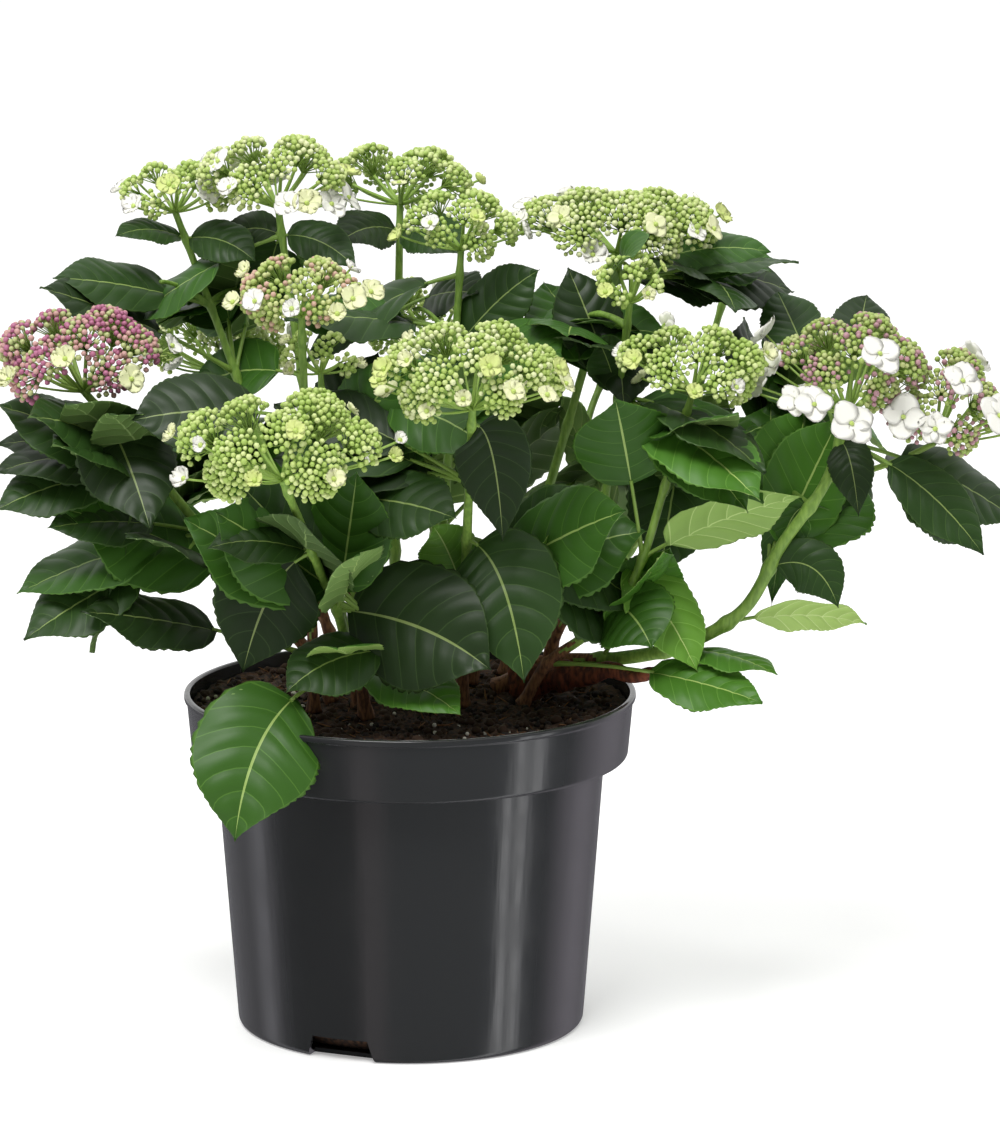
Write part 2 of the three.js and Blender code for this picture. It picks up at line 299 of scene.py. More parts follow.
def studio_floor():
    """Paper that glows a little and is left out of reflections, so that the pot mirrors the room."""
    reach = FLOOR_REACH
    corners = [(-reach, -reach, 0), (reach, -reach, 0), (reach, reach, 0), (-reach, reach, 0)]
    paint = bpy.data.materials.new("matt white studio paper")
    paint.use_nodes = True
    principled = paint.node_tree.nodes["Principled BSDF"]
    principled.inputs["Base Color"].default_value = linear("#f6f6f5")
    principled.inputs["Roughness"].default_value = 0.9
    principled.inputs["Emission Color"].default_value = linear("#ffffff")
    principled.inputs["Emission Strength"].default_value = FLOOR_GLOW
    floor = made_mesh("studio_floor", corners, [[0, 1, 2, 3]], materials=[paint], smooth=False)
    floor.visible_glossy = False


set_camera()
set_lights()
studio_floor()

# ---------------------------------------------------------------- materials
LEAF_SHADES = {
    # shade: upper side, its side veins and margin, its midrib, underside, the veins of the underside
    "deep": ("#1f3313", "#31471f", "#78894c", "#4f6a34", "#7f985a"),
    "dark": ("#284318", "#3b5724", "#849a52", "#5c7a3a", "#88a260"),
    "mid": ("#355c1b", "#4b7328", "#93ad5c", "#71914a", "#9ab468"),
    "fresh": ("#477624", "#5f8d36", "#a5bf68", "#86a652", "#aac476"),
    "bright": ("#659533", "#7fae49", "#b8d07c", "#9cba60", "#bcd088"),
}
FINISHES_OF_A_SHADE = 5
SHADE_NAMES = list(LEAF_SHADES)


def principled_material(title, colour, roughness, **sockets):
    made = bpy.data.materials.new(title)
    made.use_nodes = True
    shader = made.node_tree.nodes["Principled BSDF"]
    shader.inputs["Base Color"].default_value = linear(colour)
    shader.inputs["Roughness"].default_value = roughness
    for key, value in sockets.items():
        shader.inputs[key.replace("_", " ")].default_value = value
    return made


def leaf_finishes():
    """Five finishes for each shade: a waxy upper side that shines softly, and a dull downy underside."""
    made = []
    for shade, (upper, side_vein, midrib, under, under_vein) in LEAF_SHADES.items():
        made.append(principled_material(f"waxy leaf blade {shade}", upper, 0.44, Specular_IOR_Level=0.3))
        made.append(principled_material(f"leaf side vein {shade}", side_vein, 0.46, Specular_IOR_Level=0.3))
        made.append(principled_material(f"leaf midrib {shade}", midrib, 0.45))
        made.append(principled_material(f"downy leaf underside {shade}", under, 0.65))
        made.append(principled_material(f"leaf underside vein {shade}", under_vein, 0.6))
    return made


LEAF_FINISHES = leaf_finishes()
# A leaf stalk is juicy and smooth: pale green with a soft shine.
STALK = principled_material("fleshy leaf stalk", "#7f9f45", 0.45)

# ---------------------------------------------------------------- centrelines of the stems
STATION_GAP = 6 * MM


def stations_of(node):
    """The middle and radius of each ring of a CAD stem, from its foot to its tip."""
    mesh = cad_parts[node].data
    points = np.unique(np.round([tuple(v.co) for v in mesh.vertices], 5), axis=0)
    foot = points[points[:, 2] < points[:, 2].min() + 1 * MM].mean(0)
    far = points[np.argmax(np.linalg.norm(points - foot, axis=1))]
    along = (points - foot) @ unit(far - foot)
    order = np.argsort(along)
    points, along = points[order], along[order]
    splits = np.where(np.diff(along) > STATION_GAP)[0] + 1
    rings = np.split(points, splits)
    middles = np.array([ring.mean(0) for ring in rings])
    radii = np.array([np.linalg.norm(ring - ring.mean(0), axis=1).max() for ring in rings])
    return middles, radii


class Limb:
    """A stem's centreline with its radius, asked for by the share of its length from the foot."""

    def __init__(self, middles, radii, count=60):
        self.line = smooth_line(middles, count)
        self.shares = np.linspace(0, 1, count)
        station = np.linspace(0, 1, len(radii))
        self.radii = np.interp(self.shares, station, np.linspace(radii[0], radii[-1], len(radii)))
        self.nodes = []

    def at(self, share):
        return np.array([np.interp(share, self.shares, self.line[:, axis]) for axis in range(3)])

    def along(self, share):
        return unit(self.at(min(share + 0.02, 1)) - self.at(max(share - 0.02, 0)))

    def radius(self, share):
        return float(np.interp(share, self.shares, self.radii))


STEM_NODES = [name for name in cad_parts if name.startswith("stem_")]
LIMBS = {name.removeprefix("stem_"): Limb(*stations_of(name)) for name in STEM_NODES}

# ---------------------------------------------------------------- leaves
# The blade: an egg-shaped outline with a drawn-out tip, widest a little below the middle, saw-toothed,
# with side veins that leave the midrib in pairs and arch forward to the margin.
VEIN_PAIRS = 7
FIRST_VEIN, LAST_VEIN = 0.03, 0.87
VEIN_HALF_WIDTH = 0.0035
MIDRIB_SHARE = 0.022
WIDEST = 0.46
ARCH_FORWARD = 0.58
TOOTH = 0.045
QUILT = 0.9 * MM
VEIN_SINK = 0.35 * MM
MIDRIB_SINK = 0.6 * MM
BLADE_THICKNESS = 0.4 * MM
RIDGE = 0.5 * MM
MIDRIB_RIDGE = 0.9 * MM


def blade_pattern(panel_lines, columns):
    """The blade's grid as shares: rows that follow the side veins, and columns out from the midrib.
    Gives each point's share along and across, its quilting, tooth, vein and midrib amounts."""
    veins = np.linspace(FIRST_VEIN, LAST_VEIN, VEIN_PAIRS)
    rows = [(0.0, 1.0, 0.0), (0.006, 1.0, 0.01), (0.015, 1.0, 0.01)]
    bounds = list(veins) + [1.0]
    for vein, following in zip(veins, bounds[1:]):
        rows += [(vein - VEIN_HALF_WIDTH, 1.0, 0.0), (vein + VEIN_HALF_WIDTH, 1.0, 0.0)]
        for line in range(1, panel_lines + 1):
            share = line / (panel_lines + 1)
            start, end = vein + VEIN_HALF_WIDTH, following - VEIN_HALF_WIDTH
            rows.append((start + (end - start) * share, 0.0 if line % 2 else 1.0, math.sin(math.pi * share)))
    rows.append((1.0, 0.0, 0.0))
    along, tooth, quilt = np.array(rows).T
    half = np.concatenate(([MIDRIB_SHARE], np.linspace(0, 0.955, columns + 1)[1:] ** 0.9, [1.0]))
    across = np.concatenate((-half[::-1], half))
    u, v = np.meshgrid(along, across, indexing="ij")
    share = u + ARCH_FORWARD * np.abs(v) ** 1.2 * np.sqrt(np.clip(u, 0, 1)) * (1 - u)
    base = 1 - np.clip(1 - share / WIDEST, 0, 1) ** 2
    late = np.clip((share - WIDEST) / (1 - WIDEST), 0, 1)
    outline = np.where(share < WIDEST, base**0.55, (1 - late**2.5) ** 1.4)
    outline = np.clip(outline, 0.012, None)
    edge = np.abs(v) > 0.999
    outline = outline * (1 + np.where(edge, TOOTH * (tooth[:, None] - 0.4), 0))
    amount = quilt[:, None] * np.sin(math.pi * np.abs(v) ** 0.8)
    is_vein = np.broadcast_to(((tooth > 0.9) & (quilt < 1e-6))[:, None], u.shape)
    return {
        "rows": len(along),
        "columns": len(across),
        "share": np.clip(share, 0, 1),
        "across": v * outline,
        "side": v,
        "quilt": amount,
        "vein": np.where(is_vein & ~edge, 1.0, 0.0) * (1 - np.abs(v)) ** 0.3,
        "midrib": np.where(np.abs(v) <= MIDRIB_SHARE, 1.0, 0.0) * (1 - 0.8 * u),
    }


FINE_BLADE = blade_pattern(panel_lines=4, columns=5)
PLAIN_BLADE = blade_pattern(panel_lines=3, columns=4)


def blade_faces(pattern):
    """Upper faces, lower faces and the finish of each: blade, side vein or margin, midrib, underside,
    its veins. The two layers share their outer edge."""
    rows, columns = pattern["rows"], pattern["columns"]
    upper = grid_faces(rows, columns)
    number = np.arange(rows * columns).reshape(rows, columns)
    inner = np.ones((rows, columns), bool)
    inner[0], inner[-1], inner[:, 0], inner[:, -1] = False, False, False, False
    below = number.copy()
    below[inner] = rows * columns + np.arange(inner.sum())
    lower = below.ravel()[upper[:, ::-1]]
    row, column = np.divmod(np.arange((rows - 1) * (columns - 1)), columns - 1)
    flat = pattern["quilt"][:, columns // 4] < 1e-6
    vein_row = flat[:-1] & flat[1:] & (np.arange(rows - 1) > 2)
    margin = (column == 0) | (column == columns - 2)
    is_midrib = column == (columns - 1) // 2
    upper_kind = np.where(is_midrib, 2, np.where(vein_row[row] | margin, 1, 0))
    lower_kind = np.where(is_midrib | vein_row[row], 4, 3)
    return upper, lower, np.concatenate([upper_kind, lower_kind]), inner


BLADES = {"fine": (FINE_BLADE, blade_faces(FINE_BLADE)), "plain": (PLAIN_BLADE, blade_faces(PLAIN_BLADE))}


def bent_points(start, middle, end, share):
    """Points and tangents on the quadratic arc through start and end, pulled towards middle."""
    t = np.asarray(share, float)[..., None]
    points = (1 - t) ** 2 * start + 2 * (1 - t) * t * middle + t**2 * end
    return points, unit(2 * (1 - t) * (middle - start) + 2 * t * (end - middle))


LEAF_WAVES = 2.2
LEAF_WAVE = 1.6 * MM
LEAF_CURL = 0.3
FULL_LEAF = 100 * MM


def grow_leaf(blades, stalks, root, tip, leaf, random):
    """Adds one leaf: its stalk from the stem and its blade, on one arc from the stem to its tip."""
    pattern, (upper, lower, kinds, inner) = BLADES[leaf["detail"]]
    reach = np.linalg.norm(tip - root)
    length = min(leaf["length"], reach * leaf["most"])
    over = leaf["over"]
    knee = root + (tip - root) * (over, over, 1 - over) + UP * leaf["arch"]
    stalk_share = 1 - length / reach
    share = pattern["share"]
    points, tangent = bent_points(root, knee, tip, stalk_share + (1 - stalk_share) * share)
    face = np.asarray(leaf["face"], float)
    normal = unit(face - tangent * (tangent @ face)[..., None])
    side = np.cross(tangent, normal)
    half_width = length * leaf["broad"] / 2
    y = pattern["across"] * half_width
    phase = random.random() * 2 * math.pi
    swing = np.sin(LEAF_WAVES * 2 * math.pi * share + phase + 1.5 * pattern["side"])
    fold = leaf["fold"] * np.abs(y) - LEAF_CURL * y**2 / half_width
    scale = length / FULL_LEAF
    relief = pattern["quilt"] * QUILT - pattern["vein"] * VEIN_SINK - pattern["midrib"] * MIDRIB_SINK
    height = fold + LEAF_WAVE * swing * pattern["side"] ** 2 * scale + relief * scale
    drop = BLADE_THICKNESS + pattern["vein"] * RIDGE + pattern["midrib"] * MIDRIB_RIDGE
    top = points + side * y[..., None] + normal * height[..., None]
    bottom = top - normal * (drop * scale)[..., None]
    slots = FINISHES_OF_A_SHADE * SHADE_NAMES.index(leaf["shade"]) + kinds
    blades.add(np.vstack([top.reshape(-1, 3), bottom[inner]]), np.vstack([upper, lower]), slots)
    run = np.linspace(0, stalk_share + 0.02, 8)
    line, _ = bent_points(root, knee, tip, run)
    thick = np.interp(run, [0, stalk_share * 0.3, stalk_share], [2.3, 1.4, 1.2]) * MM
    stalks.add(*tube(line, thick * (0.5 + 0.5 * scale), 8), 0)


# How each mass of leaves grows: how many leaves, the length of their blades, how far they droop,
# and the shades that they are dealt. The back is as full as the front.
HABIT = {"leaves": 9, "length": (74, 100), "droop": 0.1, "shades": ("dark", "dark", "mid", "fresh")}
HABITS = {
    "low_left": {"leaves": 5, "droop": 0.0, "shades": ("deep", "dark", "dark", "mid")},
    "mid_left": {"leaves": 8, "droop": 0.0, "shades": ("deep", "dark", "dark")},
    "top_left": {"leaves": 9, "length": (64, 88), "shades": ("deep", "dark", "mid")},
    "front_left": {"leaves": 9, "droop": 0.25, "shades": ("deep", "dark", "mid")},
    "over_pot": {"leaves": 0},
    "front_low": {"leaves": 3, "length": (60, 80), "droop": 0.3, "shades": ("dark", "mid", "fresh")},
    "centre": {"leaves": 11, "droop": 0.2, "shades": ("dark", "mid", "fresh")},
    "inner_left": {"leaves": 10, "shades": ("deep", "dark", "mid")},
    "upper_centre": {"leaves": 11, "length": (64, 90), "shades": ("deep", "dark", "mid")},
    "upper_right": {"leaves": 9, "length": (64, 90), "shades": ("deep", "dark", "mid")},
    "right_mid": {"leaves": 7, "shades": ("dark", "mid", "fresh")},
    "right_low": {"leaves": 4, "length": (60, 84), "droop": 0.2, "shades": ("mid", "fresh", "bright")},
    "right_foot": {"leaves": 2, "length": (58, 76), "shades": ("fresh", "bright")},
    "far_right": {"leaves": 8, "droop": 0.2, "shades": ("dark", "mid", "fresh")},
    "far_right_tip": {"leaves": 2, "length": (62, 84), "droop": 0.2, "shades": ("dark", "mid")},
    "right_top": {"leaves": 9, "length": (64, 90), "shades": ("deep", "dark", "mid")},
    "behind_right": {"leaves": 8},
    "back_left": {"leaves": 15},
    "back_middle": {"leaves": 15},
    "back_right": {"leaves": 13},
    "back_top_left": {"leaves": 9, "length": (64, 90)},
}

# The leaves that stand out at the front, listed one by one. Each belongs to a mass and grows from a share of
# a shoot's length; its tip is given in half-widths of the mass from its middle; then the blade's
# length in millimetres, its width for its length, how far it droops, its shade and which way it faces.
FRONT, FRONT_UP, UP_FRONT, UNDERSIDE = (0, -1, 0.25), (0, -1, 0.8), (0, -0.6, 1), (0, 0.7, 0.75)
ACCENTS = [
    ("over_pot", "front_left", 0.22, (-0.35, -0.6, -0.85), 92, 0.78, 1.0, "mid", FRONT),
    ("front_low", "front_left", 0.42, (1.0, -0.45, -0.15), 98, 0.8, 0.2, "deep", FRONT),
    ("front_low", "front_left", 0.1, (0.7, -0.3, -1.0), 76, 0.55, 0.1, "fresh", UP_FRONT),
    ("centre", "front_centre", 0.54, (-0.1, -0.95, -0.85), 80, 0.82, 0.6, "dark", FRONT),
    ("centre", "front_centre", 0.3, (0.85, -0.7, 0.75), 88, 0.68, 0.0, "mid", FRONT_UP),
    ("centre", "front_centre", 0.94, (-0.3, -0.95, 0.5), 58, 0.74, 0.7, "deep", FRONT),
    ("centre", "front_centre", 0.34, (-0.95, 0.0, 0.5), 50, 0.7, 0.0, "bright", FRONT),
    ("centre", "right_bud", 0.28, (0.05, -0.3, 0.35), 44, 0.7, 0.2, "bright", FRONT),
    ("right_mid", "right_centre", 0.45, (-0.6, -0.6, 0.85), 64, 0.9, 0.0, "mid", FRONT),
    ("right_mid", "right_centre", 0.54, (1.5, -0.3, -0.7), 86, 0.56, 0.0, "fresh", UNDERSIDE),
    ("right_low", "right_bud", 0.28, (0.3, -0.9, -0.55), 52, 0.95, 0.5, "mid", FRONT),
    ("right_foot", "right_centre", 0.1, (0.75, -0.5, -0.8), 74, 0.56, 0.1, "fresh", UP_FRONT),
    ("far_right", "far_right", 0.52, (0.9, -0.4, -1.1), 68, 0.5, 0.1, "bright", UNDERSIDE),
    ("far_right", "far_right", 0.66, (0.55, -0.9, -0.85), 80, 0.75, 0.6, "dark", FRONT),
    ("far_right", "far_right", 0.8, (-0.15, -0.5, -0.9), 66, 0.42, 0.6, "mid", FRONT),
    ("far_right_tip", "far_right", 0.9, (0.45, -0.5, -0.85), 72, 0.5, 0.2, "dark", FRONT_UP),
    ("far_right", "far_right", 0.94, (0.75, -1.0, 0.05), 58, 0.6, 0.3, "deep", FRONT),
    ("behind_right", "far_right", 0.94, (-0.1, 0.3, 1.3), 58, 0.62, 0.1, "dark", FRONT_UP),
    ("behind_right", "far_right", 0.94, (0.85, 0.3, 1.25), 56, 0.62, 0.1, "deep", FRONT_UP),
    ("low_left", "far_left", 0.22, (-0.62, -0.4, -0.2), 88, 0.56, 0.1, "deep", UP_FRONT),
    ("low_left", "front_left", 0.6, (0.5, -1.05, -0.85), 66, 0.92, 0.4, "deep", FRONT),
    ("mid_left", "far_left", 0.62, (-0.5, -0.4, -1.0), 66, 0.6, 0.1, "dark", UP_FRONT),
    ("mid_left", "far_left", 0.74, (-0.95, -0.2, -0.8), 76, 0.6, 0.1, "dark", UP_FRONT),
    ("mid_left", "left_centre", 0.66, (0.2, -0.9, 0.8), 74, 0.7, 0.1, "deep", FRONT_UP),
    ("top_left", "top_left", 0.72, (-1.0, -0.3, 0.1), 82, 0.56, 0.0, "deep", UP_FRONT),
    ("top_left", "top_left", 0.9, (-0.4, 0.2, 0.95), 54, 0.56, 0.0, "dark", UP_FRONT),
    ("top_left", "top_left", 0.94, (0.75, 0.2, 0.45), 52, 0.62, 0.1, "dark", FRONT_UP),
    ("top_left", "upper_left", 0.94, (0.45, 0.9, 0.6), 56, 0.62, 0.2, "deep", FRONT_UP),
    ("back_top_left", "upper_left", 0.94, (0.1, -0.6, -0.1), 54, 0.64, 0.3, "dark", FRONT),
    ("upper_centre", "upper_left", 0.94, (-0.5, 0.3, 0.8), 58, 0.62, 0.1, "dark", FRONT_UP),
    ("upper_centre", "back_centre", 0.94, (-0.65, 0.9, 1.1), 60, 0.6, 0.1, "deep", FRONT_UP),
    ("upper_centre", "back_centre", 0.94, (0.35, 0.9, 0.9), 58, 0.62, 0.1, "dark", FRONT_UP),
    ("upper_centre", "back_centre", 0.77, (0.5, 0.3, 0.35), 56, 0.66, 0.1, "deep", FRONT_UP),
    ("upper_centre", "upper_centre", 0.77, (1.0, 0.2, 0.8), 62, 0.6, 0.0, "dark", FRONT_UP),
    ("back_top_left", "upper_left", 0.66, (-0.6, -0.6, -1.1), 64, 0.74, 0.2, "mid", FRONT_UP),
    ("front_left", "left_centre", 0.53, (0.95, -0.5, 0.55), 72, 0.66, 0.1, "dark", FRONT_UP),
    ("front_left", "front_left", 0.6, (-0.9, -0.6, 0.2), 64, 0.62, 0.1, "dark", UP_FRONT),
    ("upper_right", "upper_centre", 0.7, (-0.2, -0.95, -0.1), 66, 0.72, 0.0, "mid", FRONT_UP),
    ("upper_right", "right_bud", 0.75, (0.2, -0.6, 0.1), 60, 0.7, 0.1, "dark", FRONT_UP),
    ("upper_right", "upper_right", 0.94, (0.6, -0.7, 1.45), 44, 0.8, 0.0, "mid", FRONT),
]
HIDING_REACH = 36 * MM

BROAD = (0.58, 0.74)
NODE_SPACING = 36 * MM
FIRST_NODE = 30 * MM
LONGEST_STALK = 70 * MM
TWIG_RADII = (1.9 * MM, 0.9 * MM)
TWIG_LEAVES = 3
TWIG_BEHIND = 18 * MM
# Leaves grow out of a mass this way: not further in than the shadow side, nor steeper down than the
# lowest way. A leaf strays past its mass by a little, and starts at a share of the way out through it.
SHADOW_SIDE = -0.3
LOWEST_WAY = -0.55
STRAY = 1.08
SPOT_REACH = (0.45, 0.75)
# How much a node is worth that lies straight behind the leaf, in metres of reach.
WAY_WEIGHT = 0.035
POT_GAP, RIM_GAP = 8 * MM, 22 * MM
BACK_LINE = 60 * MM
FORWARD_TILT = np.array([0.0, -0.5, 0.0])


def middle_and_half(node):
    low, high = (np.array(corner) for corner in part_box(node))
    return (low + high) / 2, (high - low) / 2


def solids_named(prefix):
    """The middle and half size of every CAD solid of one kind, by the rest of its name."""
    names = [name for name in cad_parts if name.startswith(prefix)]
    return {name.removeprefix(prefix): middle_and_half(name) for name in names}


MASSES = solids_named("leaves_")
HEADS = solids_named("head_")
FOOT_MIDDLE, FOOT_HALF = middle_and_half("pot")
PLANT_LOW = np.array(cad_box[0])
PLANT_HIGH = np.array(cad_box[1])
PLANT_MIDDLE = np.array([FOOT_MIDDLE[0], FOOT_MIDDLE[1], (FOOT_MIDDLE[2] + PLANT_HIGH[2]) / 2])
RIM_TOP = FOOT_MIDDLE[2] + FOOT_HALF[2]
RIM_RADIUS = FOOT_HALF[0]


def space_nodes(limb):
    """Marks the limb's nodes, from which its leaves grow."""
    length = np.linalg.norm(np.diff(limb.line, axis=0), axis=1).sum()
    count = max(2, int((length - FIRST_NODE) / NODE_SPACING))
    limb.nodes = list(np.linspace(min(FIRST_NODE / length, 0.4), 0.94, count))
    limb.node_points = np.array([limb.at(share) for share in limb.nodes])


def grow_twigs(random):
    """A side twig runs into every mass of three or more leaves that no stem comes near."""
    stems = list(LIMBS.values())
    twigs = []
    for name, (middle, half) in MASSES.items():
        if (HABIT | HABITS.get(name, {}))["leaves"] < TWIG_LEAVES:
            continue
        spots = [(np.linalg.norm(point - middle), index, share) for index, limb in enumerate(stems)
                 for share, point in zip(limb.nodes, limb.node_points)]
        distance, index, share = min(spots)
        if distance < 0.45 * half.max():
            continue
        root = stems[index].at(share)
        end = middle + (middle - root) * 0.1 + (0, TWIG_BEHIND if middle[1] < BACK_LINE else 0, 0)
        bend = (root + end) / 2 + UP * 12 * MM + (random.random(3) - 0.5) * 16 * MM
        line, _ = bent_points(root, bend, end, np.linspace(0, 1, 8))
        twig = Limb(line, TWIG_RADII)
        space_nodes(twig)
        twigs.append(twig)
    return twigs


def inside(point, middle, half, grown):
    return np.sum(((point - middle) / (half * grown)) ** 2) < 1


def vogel(index, count):
    """Evenly spread directions all round a ball."""
    rise = 1 - 2 * (index + 0.5) / count
    turn = index * math.pi * (3 - math.sqrt(5))
    level = math.sqrt(1 - rise * rise)
    return np.array([level * math.cos(turn), level * math.sin(turn), rise])


def nearest_node(limbs, spot, way, wanted):
    """The limb node from which a leaf of the wanted reach points the wanted way through the spot."""
    best = None
    for limb in limbs:
        apart = spot - limb.node_points
        distance = np.linalg.norm(apart, axis=1)
        cost = np.abs(distance - wanted) - WAY_WEIGHT * (apart @ way) / (distance + 1e-6)
        index = int(np.argmin(cost))
        if best is None or cost[index] < best[0]:
            best = (cost[index], limb.node_points[index])
    return best[1]


def leaf_in(mass, way, habit, limbs, random):
    """Where one leaf of a mass starts and ends, with a tip over the pot lifted above its rim, or nothing
    where it would hit a head.
    """
    middle, half = mass
    length = random.uniform(*habit["length"]) * MM
    spot = middle + way * half * random.uniform(*SPOT_REACH)
    root = nearest_node(limbs, spot, way, 0.5 * length + 25 * MM)
    run = spot - root
    reach = min(max(np.linalg.norm(run) + 0.5 * length, 1.2 * length), length + LONGEST_STALK)
    tip = root + unit(run) * reach
    tip[2] -= habit["droop"] * 0.5 * length
    tip = np.clip(tip, middle - half * STRAY, middle + half * STRAY)
    tip = np.clip(tip, PLANT_LOW + 4 * MM, PLANT_HIGH - 6 * MM)
    over_pot = np.hypot(tip[0], tip[1]) <= RIM_RADIUS + POT_GAP
    if over_pot:
        tip[2] = max(tip[2], RIM_TOP + RIM_GAP)
    if any(inside(0.4 * root + 0.6 * tip, *head, 1.1) or inside(tip, *head, 1.3) for head in HEADS.values()):
        return None
    return root, tip, length


def grow_accents(sprays, stalks, random):
    """The listed leaves. Gives the middle of each blade, which other leaves leave uncovered."""
    middles = []
    for name, shoot, share, shares, length, broad, droop, shade, face in ACCENTS:
        middle, half = MASSES[name]
        limb = LIMBS[shoot]
        root = limb.at(limb.nodes[int(np.argmin(np.abs(np.array(limb.nodes) - share)))])
        tip = np.clip(middle + np.array(shares) * half, PLANT_LOW + 3 * MM, PLANT_HIGH - 3 * MM)
        leaf = {
            "detail": "fine",
            "most": 0.94,
            "length": length * MM,
            "broad": broad,
            "over": 0.5 + 0.35 * droop,
            "arch": (10 + 16 * droop) * MM,
            "fold": 0.2,
            "face": face,
            "shade": shade,
        }
        grow_leaf(sprays[name], stalks, root, tip, leaf, random)
        middles.append(tip - unit(tip - root) * length * 0.5 * MM)
    return middles


def hides(spot, middles):
    """Whether a leaf at the spot would lie in front of one of the listed leaves."""
    return any(np.hypot(*(spot - middle)[[0, 2]]) < HIDING_REACH and spot[1] < middle[1] + 6 * MM
               for middle in middles)


def grow_foliage(limbs, random):
    """Leaves for every mass: its own spray of blades, and all their stalks together."""
    stalks = Parts()
    sprays = {name: Parts() for name in MASSES}
    accents = grow_accents(sprays, stalks, random)
    for name, mass in MASSES.items():
        habit = HABIT | HABITS.get(name, {})
        outward = unit((mass[0] - PLANT_MIDDLE) * (1, 1, 0.6))
        turned_out = 0.75 * outward if mass[0][1] > BACK_LINE else 0.35 * outward + FORWARD_TILT
        tries = max(1, 5 * habit["leaves"])
        ways = [way for way in (vogel(index, tries) for index in range(tries))
                if way @ outward > SHADOW_SIDE and way[2] > LOWEST_WAY]
        random.shuffle(ways)
        grown = 0
        for way in ways:
            placed = leaf_in(mass, way, habit, limbs, random)
            if placed is None or grown == habit["leaves"]:
                continue
            root, tip, length = placed
            if hides(tip - unit(tip - root) * 0.5 * length, accents):
                continue
            level = unit((tip - root) * (1, 1, 0) + 1e-6)
            roll = np.cross(UP, level) * random.uniform(-0.4, 0.4)
            leaf = {
                "detail": "plain" if outward[1] > 0.3 else "fine",
                "most": 0.88,
                "length": length,
                "broad": random.uniform(*BROAD),
                "over": 0.5 + 0.35 * habit["droop"],
                "arch": random.uniform(6, 18) * MM,
                "fold": random.uniform(0.08, 0.3),
                "face": UP + 0.35 * level + turned_out + roll,
                "shade": habit["shades"][random.integers(len(habit["shades"]))],
            }
            grow_leaf(sprays[name], stalks, root, tip, leaf, random)
            grown += 1
    return sprays, stalks


LEAF_SEED = 7
leaf_random = np.random.default_rng(LEAF_SEED)
for limb in LIMBS.values():
    space_nodes(limb)
TWIGS = grow_twigs(leaf_random)
GREEN_LIMBS = [limb for name, limb in LIMBS.items() if name != "old_wood"] + TWIGS
SPRAYS, STALKS = grow_foliage(GREEN_LIMBS, leaf_random)

# Foliage and blossom are joined region by region.
REGIONS = {
    "left": ("low_left", "mid_left", "top_left", "front_left", "over_pot", "inner_left"),
    "middle": ("front_low", "centre", "upper_centre", "upper_right"),
    "right": ("right_mid", "right_low", "right_foot", "far_right", "far_right_tip", "right_top",
              "behind_right"),
    "back": ("back_left", "back_middle", "back_right", "back_top_left"),
}


def joined(many):
    whole = Parts()
    for parts in many:
        start = whole.count
        for points, faces, slots in zip(parts.points, parts.faces, parts.slots):
            whole.points.append(points)
            whole.faces.append(np.where(faces < 0, -1, faces + start))
            whole.slots.append(slots)
        whole.count += parts.count
    return whole


def settle(piece, slot, *nodes):
    """The piece belongs to the one body and stands for the nodes, which it hides; the slot is not used."""
    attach(piece, "root")
    if nodes:
        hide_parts(*nodes)


for region, names in REGIONS.items():
    spray = piece_of(f"foliage_{region}", joined(SPRAYS[name] for name in names), LEAF_FINISHES)
    settle(spray, "leaf", *[f"leaves_{name}" for name in names])
settle(piece_of("leaf_stalks", STALKS, [STALK]), "stem")

# ---------------------------------------------------------------- skins of the stems
STEM_SIDES = 14
STEM_RINGS = 110
TWIG_RINGS = 40
NODE_SWELL = 0.32
NODE_HALF_LENGTH = 4 * MM
WOODY_SHARE = 0.22
BARK_RIDGE = 0.1
GREEN_RIDGE = 0.025


def grown_stem(limb, woody_share, random, rings=STEM_RINGS):
    """A stem with a ring of swelling at each node, ridged bark low down and a smoother green top."""
    line = smooth_line(limb.line, rings)
    shares = np.linspace(0, 1, rings)
    length = np.linalg.norm(np.diff(line, axis=0), axis=1).sum()
    radii = np.interp(shares, limb.shares, limb.radii)
    for node in limb.nodes:
        radii = radii * (1 + NODE_SWELL * np.exp(-(((shares - node) * length / NODE_HALF_LENGTH) ** 2)))
    radii = radii * (1 + 0.5 * np.exp(-shares * length / (6 * MM)))
    turn = 2 * math.pi * np.arange(STEM_SIDES) / STEM_SIDES
    ridges = np.cumsum(random.normal(0, 0.35, (rings, STEM_SIDES)), axis=0)
    ridges = np.sin(ridges + 5 * turn[None, :] + random.random() * 6)
    woody = 1 / (1 + np.exp((shares - woody_share) / 0.02))
    depth = GREEN_RIDGE + (BARK_RIDGE - GREEN_RIDGE) * woody
    skin, faces = tube(line, radii[:, None] * (1 + depth[:, None] * ridges), STEM_SIDES)
    ring = np.clip(faces[:, 0] // STEM_SIDES, 0, rings - 1)
    blotch = woody_share + 0.03 * np.sin(3 * turn[faces[:, 0] % STEM_SIDES] + ring * 0.7)
    return skin, faces, np.where(shares[ring] < blotch, 1, 0)


